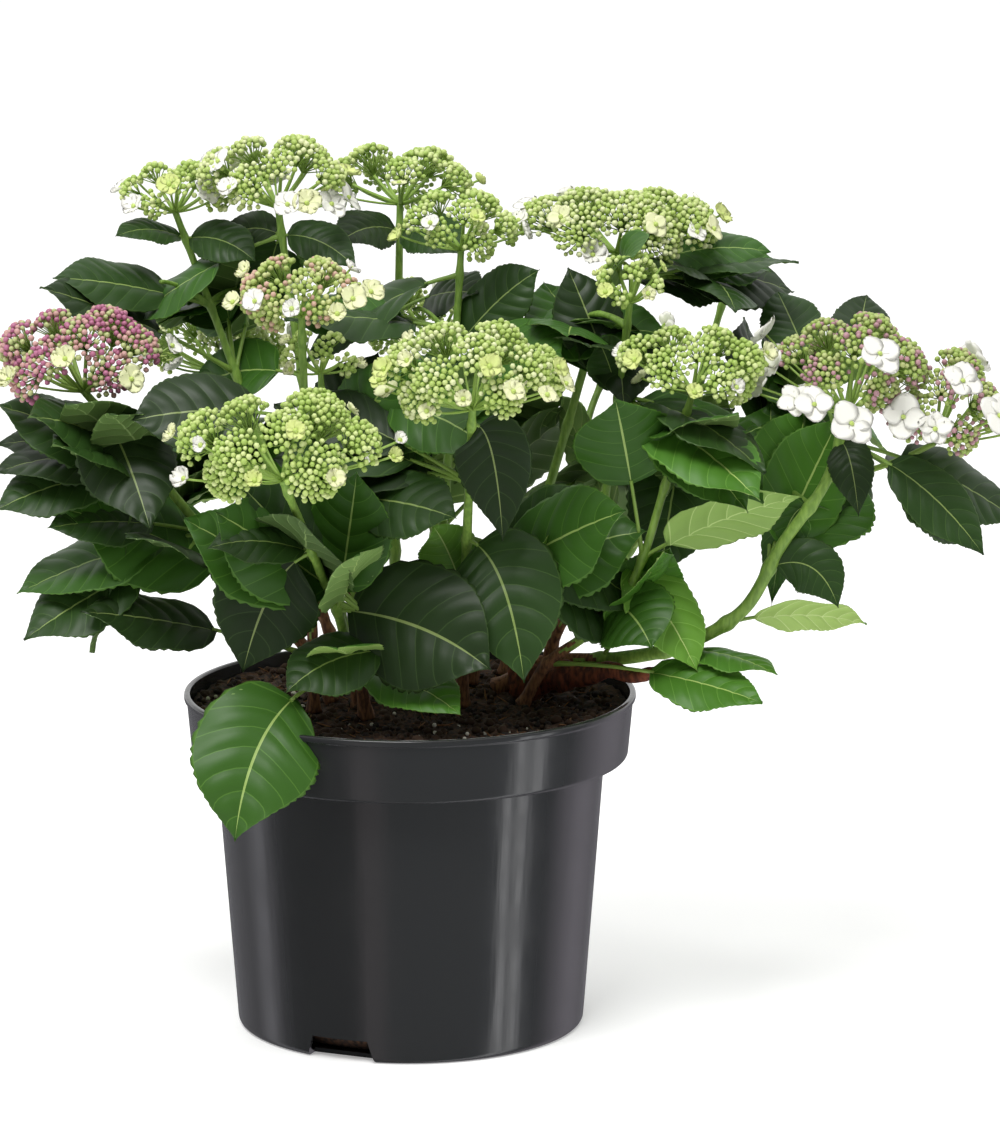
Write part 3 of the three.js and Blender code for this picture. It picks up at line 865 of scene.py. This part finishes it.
def patterned_bark(title, light, dark, grain_mm, roughness, depth_mm):
    """Fibrous bark or skin: streaks along the stem in two tones, with a bump of the same grain."""
    made = principled_material(title, light, roughness)
    tree = made.node_tree
    place = add(tree, "ShaderNodeTexCoord").outputs["Object"]
    stretched = add(tree, "ShaderNodeMapping", {"Vector": place, "Scale": (1, 1, 0.25)}).outputs["Vector"]
    grain = add(tree, "ShaderNodeTexNoise",
                {"Vector": stretched, "Scale": 1 / (grain_mm * MM), "Detail": 4.0})
    ramp = add(tree, "ShaderNodeValToRGB", {"Fac": grain.outputs["Fac"]})
    ramp.color_ramp.elements[0].position = 0.38
    ramp.color_ramp.elements[0].color = linear(dark)
    ramp.color_ramp.elements[1].position = 0.62
    ramp.color_ramp.elements[1].color = linear(light)
    bump = add(tree, "ShaderNodeBump",
               {"Height": grain.outputs["Fac"], "Distance": depth_mm * MM, "Strength": 0.6})
    shader = tree.nodes["Principled BSDF"]
    tree.links.new(ramp.outputs["Color"], shader.inputs["Base Color"])
    tree.links.new(bump.outputs["Normal"], shader.inputs["Normal"])
    return made


# A young shoot's skin is smooth and green with paler streaks. It turns to thin brown bark low down, and
# the stump's bark is dull, reddish and cracked.
STEM_GREEN = patterned_bark("green stem skin", "#86a848", "#6d9038", 2.0, 0.5, 0.2)
STEM_BARK = patterned_bark("young brown bark", "#8a5f3c", "#553422", 1.6, 0.8, 0.6)
OLD_BARK = patterned_bark("old red-brown bark", "#7d4026", "#431f13", 2.2, 0.85, 1.0)

stem_random = np.random.default_rng(21)
for name, limb in LIMBS.items():
    parts = Parts()
    old = name == "old_wood"
    parts.add(*grown_stem(limb, 2.0 if old else WOODY_SHARE, stem_random))
    finishes = [STEM_GREEN, OLD_BARK if old else STEM_BARK]
    settle(piece_of(f"grown_{name}", parts, finishes), "old_wood" if old else "stem", f"stem_{name}")

twig_parts = Parts()
for twig in TWIGS:
    twig_parts.add(*grown_stem(twig, -1.0, stem_random, TWIG_RINGS))

# ---------------------------------------------------------------- flower heads
BLOOM = {
    "green": ("#a3bd5e", "#bacd78", "#cedb94"),
    "cream": ("#a9c064", "#c3d286", "#d8dfaa"),
    "blush": ("#a8bb66", "#c3ca88", "#c9a592"),
    "pink": ("#9fb55e", "#b5bf7c", "#b58a92"),
    "magenta": ("#b06a88", "#c69a94", "#b4bd80"),
}
# The buds and florets of each head: its lobes of buds, the florets round its rim, their width in
# millimetres, how white they are, from 0 for young yellow-green to 1 for open white, how cupped, how
# far out they stand, and the sector of the rim that bears them, in degrees from +X.
HEAD_HABIT = {"lobes": 9, "florets": 9, "width": (16, 22), "white": 0.3, "cup": (1.0, 3.2),
              "spread": 1.04, "sector": (0, 360), "tone": "cream"}
HEAD_HABITS = {
    "far_left": {"lobes": 12, "florets": 7, "white": 0.2, "tone": "magenta"},
    "top_left": {"lobes": 7, "florets": 8, "width": (15, 22), "tone": "green"},
    "upper_left": {"florets": 12, "width": (17, 26), "white": 0.7, "cup": (0.4, 2.0)},
    "back_centre": {"lobes": 9, "florets": 4, "width": (10, 14), "tone": "green"},
    "upper_centre": {"lobes": 9, "florets": 6, "width": (12, 18), "tone": "green"},
    "upper_right": {"lobes": 11, "florets": 14, "width": (16, 24), "white": 0.6, "cup": (0.4, 2.0)},
    "left_centre": {"lobes": 10, "florets": 11, "width": (13, 20), "tone": "blush"},
    "left_bud": {"lobes": 6, "florets": 3, "width": (10, 14), "white": 0.0, "tone": "green"},
    "front_left": {"lobes": 10, "florets": 13, "width": (12, 18), "tone": "green"},
    "front_centre": {"lobes": 11, "florets": 18, "width": (12, 18), "white": 0.1},
    "right_bud": {"lobes": 7, "florets": 5, "width": (11, 15), "white": 0.0, "tone": "green"},
    "right_centre": {"lobes": 11, "florets": 8, "width": (12, 17), "tone": "green"},
    "back_right": {"lobes": 3, "florets": 2, "width": (10, 14), "white": 0.0, "tone": "green"},
    "far_right": {"lobes": 12, "florets": 11, "width": (24, 32), "white": 1.0, "cup": (0.2, 1.8),
                  "spread": 1.3, "sector": (110, 300), "tone": "pink"},
    "far_right_side": {"florets": 10, "width": (24, 32), "white": 1.0, "cup": (0.2, 1.8),
                       "spread": 1.3, "sector": (-110, 80), "tone": "pink"},
}
HEAD_REGIONS = {
    "left": ("top_left", "upper_left", "left_centre", "left_bud", "front_left"),
    "middle": ("back_centre", "upper_centre", "upper_right", "front_centre", "right_bud", "right_centre"),
    "pink": ("far_left", "far_right", "far_right_side"),
    "back": ("back_right", "back_left", "back_low", "back_far_right"),
}
LOBE_SHARE = 0.34
LOBE_FLOOR = -0.35
# Heads in front of the line lean to the front, and those behind it lean to the back.
HEADS_BACK_LINE = 90 * MM
FRONT_LEAN, BACK_LEAN = -0.55, 0.4
LOBE_REACH, LOBE_DOME = (0.82, 1.08), 0.85
FLORET_LIFT = (-0.5, 0.6)
FLORET_STALK = 0.7 * MM
BUD_DIAMETER = (3.3 * MM, 4.3 * MM)
BUD_PITCH = 4.1 * MM
RAY_RADII = (1.3 * MM, 0.9 * MM)
PEDICEL_RADIUS = 0.45 * MM
SEPAL_ROWS, SEPAL_COLUMNS = 6, 5
FLORET_TINTS = ("#d2de8a", "#e6e9b8", "#efeee5")


def sepal_grid():
    """One petal as shares of its length: out from the middle, across, and its cupping."""
    rows, columns = np.linspace(0, 1, SEPAL_ROWS), np.linspace(-1, 1, SEPAL_COLUMNS)
    along, across = np.meshgrid(rows, columns, indexing="ij")
    outline = 0.08 + 0.42 * np.clip(np.sin(math.pi * along**0.85), 0, 1) ** 0.6
    outline = np.where(along > 0.99, 0.2, outline)
    wave = 0.045 * np.sin(2.2 * math.pi * across + 1) * along**2
    cup = 0.14 * along**2 + 0.12 * across**2 * np.sin(math.pi * along) + wave
    return along * (1 - 0.06 * across**2), across * outline, cup


SEPAL = sepal_grid()
SEPAL_THICKNESS = 0.4 * MM


def across_frame(way, random):
    """Two unit vectors square to a direction and to each other, at a random turn."""
    side = unit(np.cross(way, (0.3, 0.5, 0.8)) + 1e-9)
    other = np.cross(way, side)
    turn = random.random() * 2 * math.pi
    return side * math.cos(turn) + other * math.sin(turn), other * math.cos(turn) - side * math.sin(turn)


def grow_floret(florets, middle, way, width, cupped, tint, random):
    """Four broad petals in a shallow cup round a bead, facing along the given way."""
    side, other = across_frame(way, random)
    petals = 4 if random.random() < 0.8 else 5
    faces = grid_faces(SEPAL_ROWS, SEPAL_COLUMNS)
    for petal in range(petals):
        turn = 2 * math.pi * petal / petals + random.uniform(-0.12, 0.12)
        size = width / 2 * random.uniform(0.88, 1.08)
        out = side * math.cos(turn) + other * math.sin(turn)
        along, across, cup = SEPAL
        along = along / (1 + 0.16 * cupped)
        sheet = along[..., None] * out + across[..., None] * (4.3 / petals) * np.cross(way, out)
        lift = cup * cupped + 0.03 * (petal % 2) + along * random.uniform(-0.1, 0.16)
        top = middle + (sheet + lift[..., None] * way) * size
        under = top - way * SEPAL_THICKNESS
        inner = np.ones(along.shape, bool)
        inner[0], inner[-1], inner[:, 0], inner[:, -1] = False, False, False, False
        below = np.arange(along.size)
        below[inner.ravel()] = along.size + np.arange(inner.sum())
        points = np.vstack([top.reshape(-1, 3), under[inner]])
        florets.add(points, np.vstack([faces, below[faces[:, ::-1]]]), tint)
    bead = middle + way * np.linspace(-0.4, 2.2, 5)[:, None] * MM
    florets.add(*tube(bead, np.array([0.4, 1.2, 1.5, 1.2, 0.4]) * MM, 7), 3)


def grow_head(name, random):
    """The rays, buds and florets of one head, filling its dome. Buds are points for scattering."""
    habit = HEAD_HABIT | HEAD_HABITS.get(name, {})
    middle, half = HEADS[name]
    shoot = "far_right" if name == "far_right_side" else name
    start = LIMBS[shoot].at(0.86 if name == "far_right_side" else 0.995)
    rays, florets, buds = Parts(), Parts(), []
    floor = middle - UP * half[2] * 0.75
    if name == "far_right_side":
        rays.add(*tube(bent_points(start, (start + floor) / 2 - UP * 6 * MM, floor, np.linspace(0, 1, 9))[0],
                       np.full(9, 1.8 * MM), 8), 0)
        start = floor
    lobe_radius = LOBE_SHARE * half[:2].mean()
    forward = FRONT_LEAN if middle[1] < HEADS_BACK_LINE else BACK_LEAN
    facing = unit(UP + (0, forward, 0) + 0.35 * unit((middle - PLANT_MIDDLE) * (1, 1, 0)))
    # The ways run all round a ball, of which the lobes above the floor are this share.
    count = int(habit["lobes"] / (0.5 - 0.5 * LOBE_FLOOR))
    ways = [vogel(index, count) for index in range(count)]
    for out in (way for way in ways if way @ facing > LOBE_FLOOR):
        spot = middle + out * np.maximum(half - lobe_radius * 0.8, 4 * MM) * random.uniform(0.9, 1.08)
        up = unit(out + 0.5 * facing)
        ray_end = spot - up * lobe_radius * 0.45
        bend = (start + ray_end) / 2 + out * half * 0.1
        line, _ = bent_points(start, bend, ray_end, np.linspace(0, 1, 7))
        rays.add(*tube(line, np.linspace(*RAY_RADII, 7), 6), 0)
        side, other = across_frame(up, random)
        reach = lobe_radius * random.uniform(*LOBE_REACH)
        bud_count = max(8, int(5 * (reach / BUD_PITCH) ** 2))
        for bud in range(bud_count):
            ring = math.sqrt((bud + 0.5) / bud_count)
            angle = bud * math.pi * (3 - math.sqrt(5))
            flat = (side * math.cos(angle) + other * math.sin(angle)) * ring
            lift = up * (LOBE_DOME * math.sqrt(max(0, 1 - ring**2 * 0.95)) + random.uniform(-0.07, 0.07))
            place = spot + (flat + lift) * reach
            size = random.uniform(*BUD_DIAMETER)
            buds.append((place, unit(flat * 0.8 + up), size, random.random()))
            if bud % 2:
                rays.add(*tube(np.array([ray_end, place]), [PEDICEL_RADIUS, PEDICEL_RADIUS * 0.8], 3), 0)
    start_turn, end_turn = (math.radians(bearing) for bearing in habit["sector"])
    for floret in range(habit["florets"]):
        turn = start_turn + (end_turn - start_turn) * (floret + random.uniform(-0.3, 0.3)) / habit["florets"]
        lift = random.uniform(*FLORET_LIFT)
        out = np.array([math.cos(turn), math.sin(turn), 0])
        width = random.uniform(*habit["width"]) * MM
        place = middle + (out * math.cos(lift) + UP * math.sin(lift)) * half * habit["spread"]
        place = np.clip(place, PLANT_LOW + 2 * MM, PLANT_HIGH + 2 * MM)
        way = unit(out * random.uniform(0.3, 1.0) + facing * random.uniform(0.4, 1.0))
        line, _ = bent_points(start, (start + place) / 2 - UP * 3 * MM, place, np.linspace(0, 1, 8))
        rays.add(*tube(line, np.full(8, FLORET_STALK), 5), 0)
        tint = 2 if random.random() < habit["white"] else int(random.random() < 0.6)
        grow_floret(florets, place, way, width, random.uniform(*habit["cup"]), tint, random)
    return habit["tone"], rays, florets, buds


def ball(name, rows, around):
    """A small closed ball of unit diameter."""
    rise = np.linspace(-math.pi / 2, math.pi / 2, rows + 2)[1:-1]
    line = np.stack([0 * rise, 0 * rise, np.sin(rise) / 2], -1)
    skin, faces = tube(line, np.cos(rise) / 2, around)
    skin[-2], skin[-1] = (0, 0, -0.5), (0, 0, 0.5)
    made = made_mesh(name, skin, faces)
    made.hide_render = True
    return made


def scatter_tree():
    """Geometry nodes that put a shape on every point, turned to the point's direction and scaled by
    its size, and give it the finish."""
    tree = bpy.data.node_groups.new("scatter shapes", "GeometryNodeTree")
    sockets = {"Geometry": "NodeSocketGeometry", "Shape": "NodeSocketObject", "Finish": "NodeSocketMaterial",
               "Unevenness": "NodeSocketFloat", "Seed": "NodeSocketInt"}
    for title, kind in sockets.items():
        tree.interface.new_socket(title, in_out="INPUT", socket_type=kind)
    tree.interface.new_socket("Geometry", in_out="OUTPUT", socket_type="NodeSocketGeometry")
    given = add(tree, "NodeGroupInput").outputs
    shape = add(tree, "GeometryNodeObjectInfo", {"Object": given["Shape"]})
    way = add(tree, "GeometryNodeInputNamedAttribute", {"Name": "way"}, data_type="FLOAT_VECTOR")
    size = add(tree, "GeometryNodeInputNamedAttribute", {"Name": "size"}, data_type="FLOAT_VECTOR")
    turned = add(tree, "FunctionNodeAlignRotationToVector", {"Vector": way.outputs["Attribute"]}, axis="Z")
    least = add(tree, "ShaderNodeMath", {0: 1.0, 1: given["Unevenness"]}, operation="SUBTRACT")
    uneven = add(tree, "FunctionNodeRandomValue", {}, data_type="FLOAT")
    tree.links.new(least.outputs[0], uneven.inputs[2])
    uneven.inputs[3].default_value = 1.0
    tree.links.new(given["Seed"], uneven.inputs["Seed"])
    scaled = add(tree, "ShaderNodeVectorMath", {0: size.outputs["Attribute"]}, operation="SCALE")
    tree.links.new(uneven.outputs[1], scaled.inputs["Scale"])
    placed = add(tree, "GeometryNodeInstanceOnPoints", {
        "Points": given["Geometry"], "Instance": shape.outputs["Geometry"],
        "Rotation": turned.outputs["Rotation"], "Scale": scaled.outputs["Vector"]})
    real = add(tree, "GeometryNodeRealizeInstances", {"Geometry": placed.outputs["Instances"]})
    done = add(tree, "GeometryNodeSetMaterial",
               {"Geometry": real.outputs["Geometry"], "Material": given["Finish"]})
    out = add(tree, "NodeGroupOutput")
    tree.links.new(done.outputs["Geometry"], out.inputs["Geometry"])
    return tree


SCATTER = scatter_tree()


def scattered(name, places, ways, sizes, shape, finish, seed, unevenness=0.2):
    """A plain mesh object of the shape repeated at each place. sizes has three numbers for each."""
    mesh = bpy.data.meshes.new(f"{name}_points")
    mesh.from_pydata([tuple(place) for place in places], [], [])
    for title, rows in (("way", ways), ("size", sizes)):
        layer = mesh.attributes.new(title, "FLOAT_VECTOR", "POINT")
        layer.data.foreach_set("vector", np.asarray(rows, np.float32).ravel())
    holder = bpy.data.objects.new(f"{name}_points", mesh)
    bpy.context.scene.collection.objects.link(holder)
    modifier = holder.modifiers.new("scatter", "NODES")
    modifier.node_group = SCATTER
    given = {item.name: item.identifier for item in SCATTER.interface.items_tree if item.in_out == "INPUT"}
    modifier[given["Shape"]] = shape
    modifier[given["Finish"]] = finish
    modifier[given["Unevenness"]] = unevenness
    modifier[given["Seed"]] = seed
    graph = bpy.context.evaluated_depsgraph_get()
    result = bpy.data.meshes.new_from_object(holder.evaluated_get(graph), depsgraph=graph)
    bpy.data.objects.remove(holder)
    made = bpy.data.objects.new(name, result)
    bpy.context.scene.collection.objects.link(made)
    return made


def merged(name, pieces):
    """Several mesh objects as one, with their finishes kept."""
    chosen = {"active_object": pieces[0], "object": pieces[0]}
    with bpy.context.temp_override(**chosen, selected_objects=pieces, selected_editable_objects=pieces):
        bpy.ops.object.join()
    pieces[0].name = name
    return pieces[0]


# A bud is a waxy bead with a soft shine. A floret's petals are thin, dry and almost matt, greenish when
# young and white when open, round a firm bead. The rays are smooth and green as the shoots are.
BUD_SHAPE = ball("bud_shape", 3, 6)
BUD_FINISHES = {tone: [principled_material(f"waxy flower bud {tone} {index}", colour, 0.5)
                       for index, colour in enumerate(colours)] for tone, colours in BLOOM.items()}
FLORET_FINISHES = [principled_material(f"thin floret petal {index}", face, 0.6)
                   for index, face in enumerate(FLORET_TINTS)]
FLORET_FINISHES.append(principled_material("floret bead", "#b9cf6c", 0.5))
RAY = principled_material("flower head ray", "#8fae4e", 0.5)
# The shares of a head's buds that are dealt its first colour, and its first or second.
TINT_SHARES = (0.42, 0.74)

head_random = np.random.default_rng(5)
for region, names in HEAD_REGIONS.items():
    rays, florets, buds = [], [], {}
    for name in names:
        tone, head_rays, head_florets, head_buds = grow_head(name, head_random)
        rays.append(head_rays)
        florets.append(head_florets)
        for bud in head_buds:
            tint = sum(bud[3] > share for share in TINT_SHARES)
            buds.setdefault((tone, tint), []).append(bud)
    groups = []
    for (tone, tint), rows in buds.items():
        places, ways, sizes, _ = zip(*rows)
        sizes = np.repeat(np.array(sizes)[:, None], 3, axis=1)
        title = f"buds_{region}_{tone}_{tint}"
        groups.append(scattered(title, places, ways, sizes, BUD_SHAPE, BUD_FINISHES[tone][tint], 3 + tint))
    slot = "pink_bloom" if region == "pink" else "bloom"
    settle(merged(f"buds_{region}", groups), slot, *[f"head_{name}" for name in names])
    settle(piece_of(f"florets_{region}", joined(florets), FLORET_FINISHES), slot)
    settle(piece_of(f"rays_{region}", joined(rays), [RAY]), "stem")
settle(piece_of("twigs", twig_parts, [STEM_GREEN, STEM_BARK]), "stem")

# ---------------------------------------------------------------- pot
# A thin moulded container: a deep band below the lip, a soft step, a tapered body, rounded corners.
POT_SIDES = 180
BASE_RADIUS = 100 * MM
BODY_TOP_RADIUS = 112 * MM
RIM_BAND = 37 * MM
BAND_TAPER = 3 * MM
LIP_HEIGHT = 4 * MM
LIP_OVERHANG = 1.5 * MM
WALL = 2 * MM
FLOOR_THICK = 2.5 * MM
NOTCH_HEIGHT = 13 * MM
NOTCH_WIDTHS = (42 * MM, 34 * MM)
NOTCH_BEARINGS = (-24, 96, 216)
NOTCH_DEPTH = 12 * MM


def rounded(corners):
    """A profile with its corners rounded: each is a radius from the axis, a height and a rounding."""
    points = np.array([corner[:2] for corner in corners])
    profile = [points[0]]
    for index in range(1, len(points) - 1):
        corner, radius = points[index], corners[index][2]
        before, after = points[index - 1] - corner, points[index + 1] - corner
        start = corner + unit(before) * min(radius, 0.45 * np.linalg.norm(before))
        end = corner + unit(after) * min(radius, 0.45 * np.linalg.norm(after))
        for t in np.linspace(0, 1, 6):
            profile.append((1 - t) ** 2 * start + 2 * t * (1 - t) * corner + t**2 * end)
    return np.array(profile + [points[-1]])


def lathe(profile, sides):
    """A closed turned solid, from the middle of its underside round to the middle of its top or floor."""
    turn = 2 * math.pi * np.arange(sides) / sides
    ring = np.stack([np.cos(turn), np.sin(turn)], -1)
    outer = profile[1:-1]
    flat = outer[:, 0][:, None, None] * ring
    height = np.broadcast_to(outer[:, 1][:, None, None], (len(outer), sides, 1))
    skin = np.concatenate([flat, height], -1).reshape(-1, 3)
    faces = grid_faces(len(outer), sides, closed_round=True)
    last = len(skin)
    skin = np.vstack([skin, (0, 0, profile[0, 1]), (0, 0, profile[-1, 1])])
    around = np.arange(sides)
    after = (around + 1) % sides
    none = np.full(sides, -1)
    first = np.stack([np.full(sides, last), after, around, none], -1)
    top = (len(outer) - 1) * sides
    end = np.stack([np.full(sides, last + 1), top + around, top + after, none], -1)
    return skin, np.vstack([faces, first, end])


def pot_plastic():
    """Injection-moulded polypropylene, black and glossy: sharp highlights, drawn out in faint upright
    streaks by the mould and clouded by handling."""
    made = principled_material("glossy black moulded polypropylene", "#262728", 0.18)
    tree = made.node_tree
    place = add(tree, "ShaderNodeTexCoord").outputs["Object"]
    upright = add(tree, "ShaderNodeMapping", {"Vector": place, "Scale": (1, 1, 0.05)}).outputs["Vector"]
    streak = add(tree, "ShaderNodeTexNoise", {"Vector": upright, "Scale": 1 / (9 * MM), "Detail": 3.0})
    cloud = add(tree, "ShaderNodeTexNoise", {"Vector": place, "Scale": 1 / (30 * MM), "Detail": 5.0})
    dull = add(tree, "ShaderNodeMapRange", {"Value": cloud.outputs["Fac"], "From Min": 0.35, "From Max": 0.7,
                                            "To Min": 0.14, "To Max": 0.24})
    bump = add(tree, "ShaderNodeBump",
               {"Height": streak.outputs["Fac"], "Distance": 0.25 * MM, "Strength": 0.5})
    shader = tree.nodes["Principled BSDF"]
    tree.links.new(dull.outputs["Result"], shader.inputs["Roughness"])
    tree.links.new(bump.outputs["Normal"], shader.inputs["Normal"])
    return made


def pot_with_notches():
    rim, band = RIM_RADIUS, RIM_RADIUS - LIP_OVERHANG
    shoulder = RIM_TOP - RIM_BAND
    soft, fine = 6 * MM, 0.9 * MM
    profile = rounded([
        (0, 0, 0), (BASE_RADIUS, 0, 4 * MM), (BODY_TOP_RADIUS, shoulder - 2 * MM, 1.6 * MM),
        (band - BAND_TAPER, shoulder, 2.4 * MM), (band, RIM_TOP - LIP_HEIGHT, fine),
        (rim, RIM_TOP - LIP_HEIGHT + 0.4 * MM, fine), (rim, RIM_TOP, 1.6 * MM),
        (band - WALL, RIM_TOP, 1.2 * MM),
        (band - BAND_TAPER - WALL, shoulder + WALL, soft), (BODY_TOP_RADIUS - WALL, shoulder - 3 * MM, soft),
        (BASE_RADIUS - WALL, FLOOR_THICK, 4 * MM), (0, FLOOR_THICK, 0),
    ])
    shell = made_mesh("pot_shell", *lathe(profile, POT_SIDES), materials=[pot_plastic()])
    low, high = (width / 2 for width in NOTCH_WIDTHS)
    deep = NOTCH_DEPTH
    cutters = []
    for bearing in NOTCH_BEARINGS:
        ring = [(-low, -1 * MM), (low, -1 * MM), (high, NOTCH_HEIGHT), (-high, NOTCH_HEIGHT)]
        corners = np.array([(x, y - BASE_RADIUS, z) for y in (-deep, deep) for x, z in ring])
        turn = mathutils.Matrix.Rotation(math.radians(bearing), 3, "Z")
        corners = corners @ np.array(turn).T
        sides = [[i, (i + 1) % 4, 4 + (i + 1) % 4, 4 + i] for i in range(4)]
        cutter = made_mesh("notch", corners, [[0, 1, 2, 3], [7, 6, 5, 4]] + sides, smooth=False)
        cutters.append(cutter)
        cut = shell.modifiers.new("notch", "BOOLEAN")
        cut.operation, cut.solver, cut.object = "DIFFERENCE", "EXACT", cutter
    graph = bpy.context.evaluated_depsgraph_get()
    mesh = bpy.data.meshes.new_from_object(shell.evaluated_get(graph), depsgraph=graph)
    mesh.set_sharp_from_angle(angle=math.radians(40))
    made = bpy.data.objects.new("nursery_pot", mesh)
    bpy.context.scene.collection.objects.link(made)
    for used in cutters + [shell]:
        bpy.data.objects.remove(used)
    return made


settle(pot_with_notches(), "pot", "pot")

# ---------------------------------------------------------------- compost
COMPOST_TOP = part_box("compost")[1][2]
COMPOST_RADIUS = RIM_RADIUS - 5.2 * MM
COMPOST_RINGS, COMPOST_AROUND = 46, 150
HEAPED = 3 * MM


def bed_height(reach):
    """The bed's height at a distance from the axis: flat, and heaped a little against the wall."""
    return COMPOST_TOP - 1.5 * MM + HEAPED * (reach / COMPOST_RADIUS) ** 6


def peat_material():
    """Moist peat: nearly black brown with paler fibres, wholly matt."""
    return patterned_bark("moist fibrous peat", "#4a2f1c", "#1c110a", 2.4, 0.95, 1.5)


def compost_bed(random):
    """A closed bed that fills the pot, with an uneven top."""
    shoulder = RIM_TOP - RIM_BAND
    side = [(0, 3.5 * MM), (84 * MM, 3.5 * MM), (97 * MM, 17 * MM), (109 * MM, shoulder - 3 * MM),
            (COMPOST_RADIUS - 4 * MM, shoulder + 4 * MM), (COMPOST_RADIUS - 0.6 * MM, COMPOST_TOP - 4 * MM)]
    radii = np.linspace(COMPOST_RADIUS, 1 * MM, COMPOST_RINGS)
    top = [(r, bed_height(r)) for r in radii]
    skin, faces = lathe(np.array(side + top + [(0, COMPOST_TOP)]), COMPOST_AROUND)
    upper = skin[:, 2] > COMPOST_TOP - 2.6 * MM
    waves = sum(np.sin(skin[:, 0] * a + skin[:, 1] * b + c)
                for a, b, c in random.normal(0, 1, (14, 3)) * (130, 130, 3)) / 14
    skin[:, 2] += upper * (waves * 3 * MM + random.normal(0, 0.7 * MM, len(skin)))
    return made_mesh("compost_bed", skin, faces, materials=[peat_material()])


def bed_places(count, random):
    """Places on the compost, even over its area."""
    reach = (COMPOST_RADIUS - 3 * MM) * np.sqrt(random.random(count))
    turn = random.random(count) * 2 * math.pi
    heights = bed_height(reach) + random.normal(0, 1 * MM, count)
    return np.stack([reach * np.cos(turn), reach * np.sin(turn), heights], -1)


bed_random = np.random.default_rng(12)
settle(compost_bed(bed_random), "compost", "compost")
CRUMB = ball("crumb_shape", 3, 6)
LITTER = {
    # what lies on the bed: how many, least and greatest width, how long for its width, colour
    "peat_crumbs": (1200, 2.0, 6.5, 1.2, "#33200f"),
    "dark_crumbs": (700, 2.0, 5.0, 1.1, "#1a100a"),
    "bark_fibres": (420, 0.5, 1.1, 13.0, "#7a5430"),
    "perlite_grains": (90, 1.6, 3.6, 1.1, "#dcd8cc"),
}
for index, (title, (count, least, most, long, colour)) in enumerate(LITTER.items()):
    places = bed_places(count, bed_random)
    ways = unit(bed_random.normal(0, 1, (count, 3)) * (1, 1, 0.35))
    widths = bed_random.uniform(least, most, count)[:, None] * MM
    finish = principled_material(title.replace("_", " "), colour, 0.9)
    litter = scattered(title, places, ways, widths * (1, 1, long), CRUMB, finish, 40 + index)
    settle(litter, "compost")

for shape in (BUD_SHAPE, CRUMB):
    bpy.data.objects.remove(shape)

bpy.context.scene.view_settings.view_transform = "Standard"
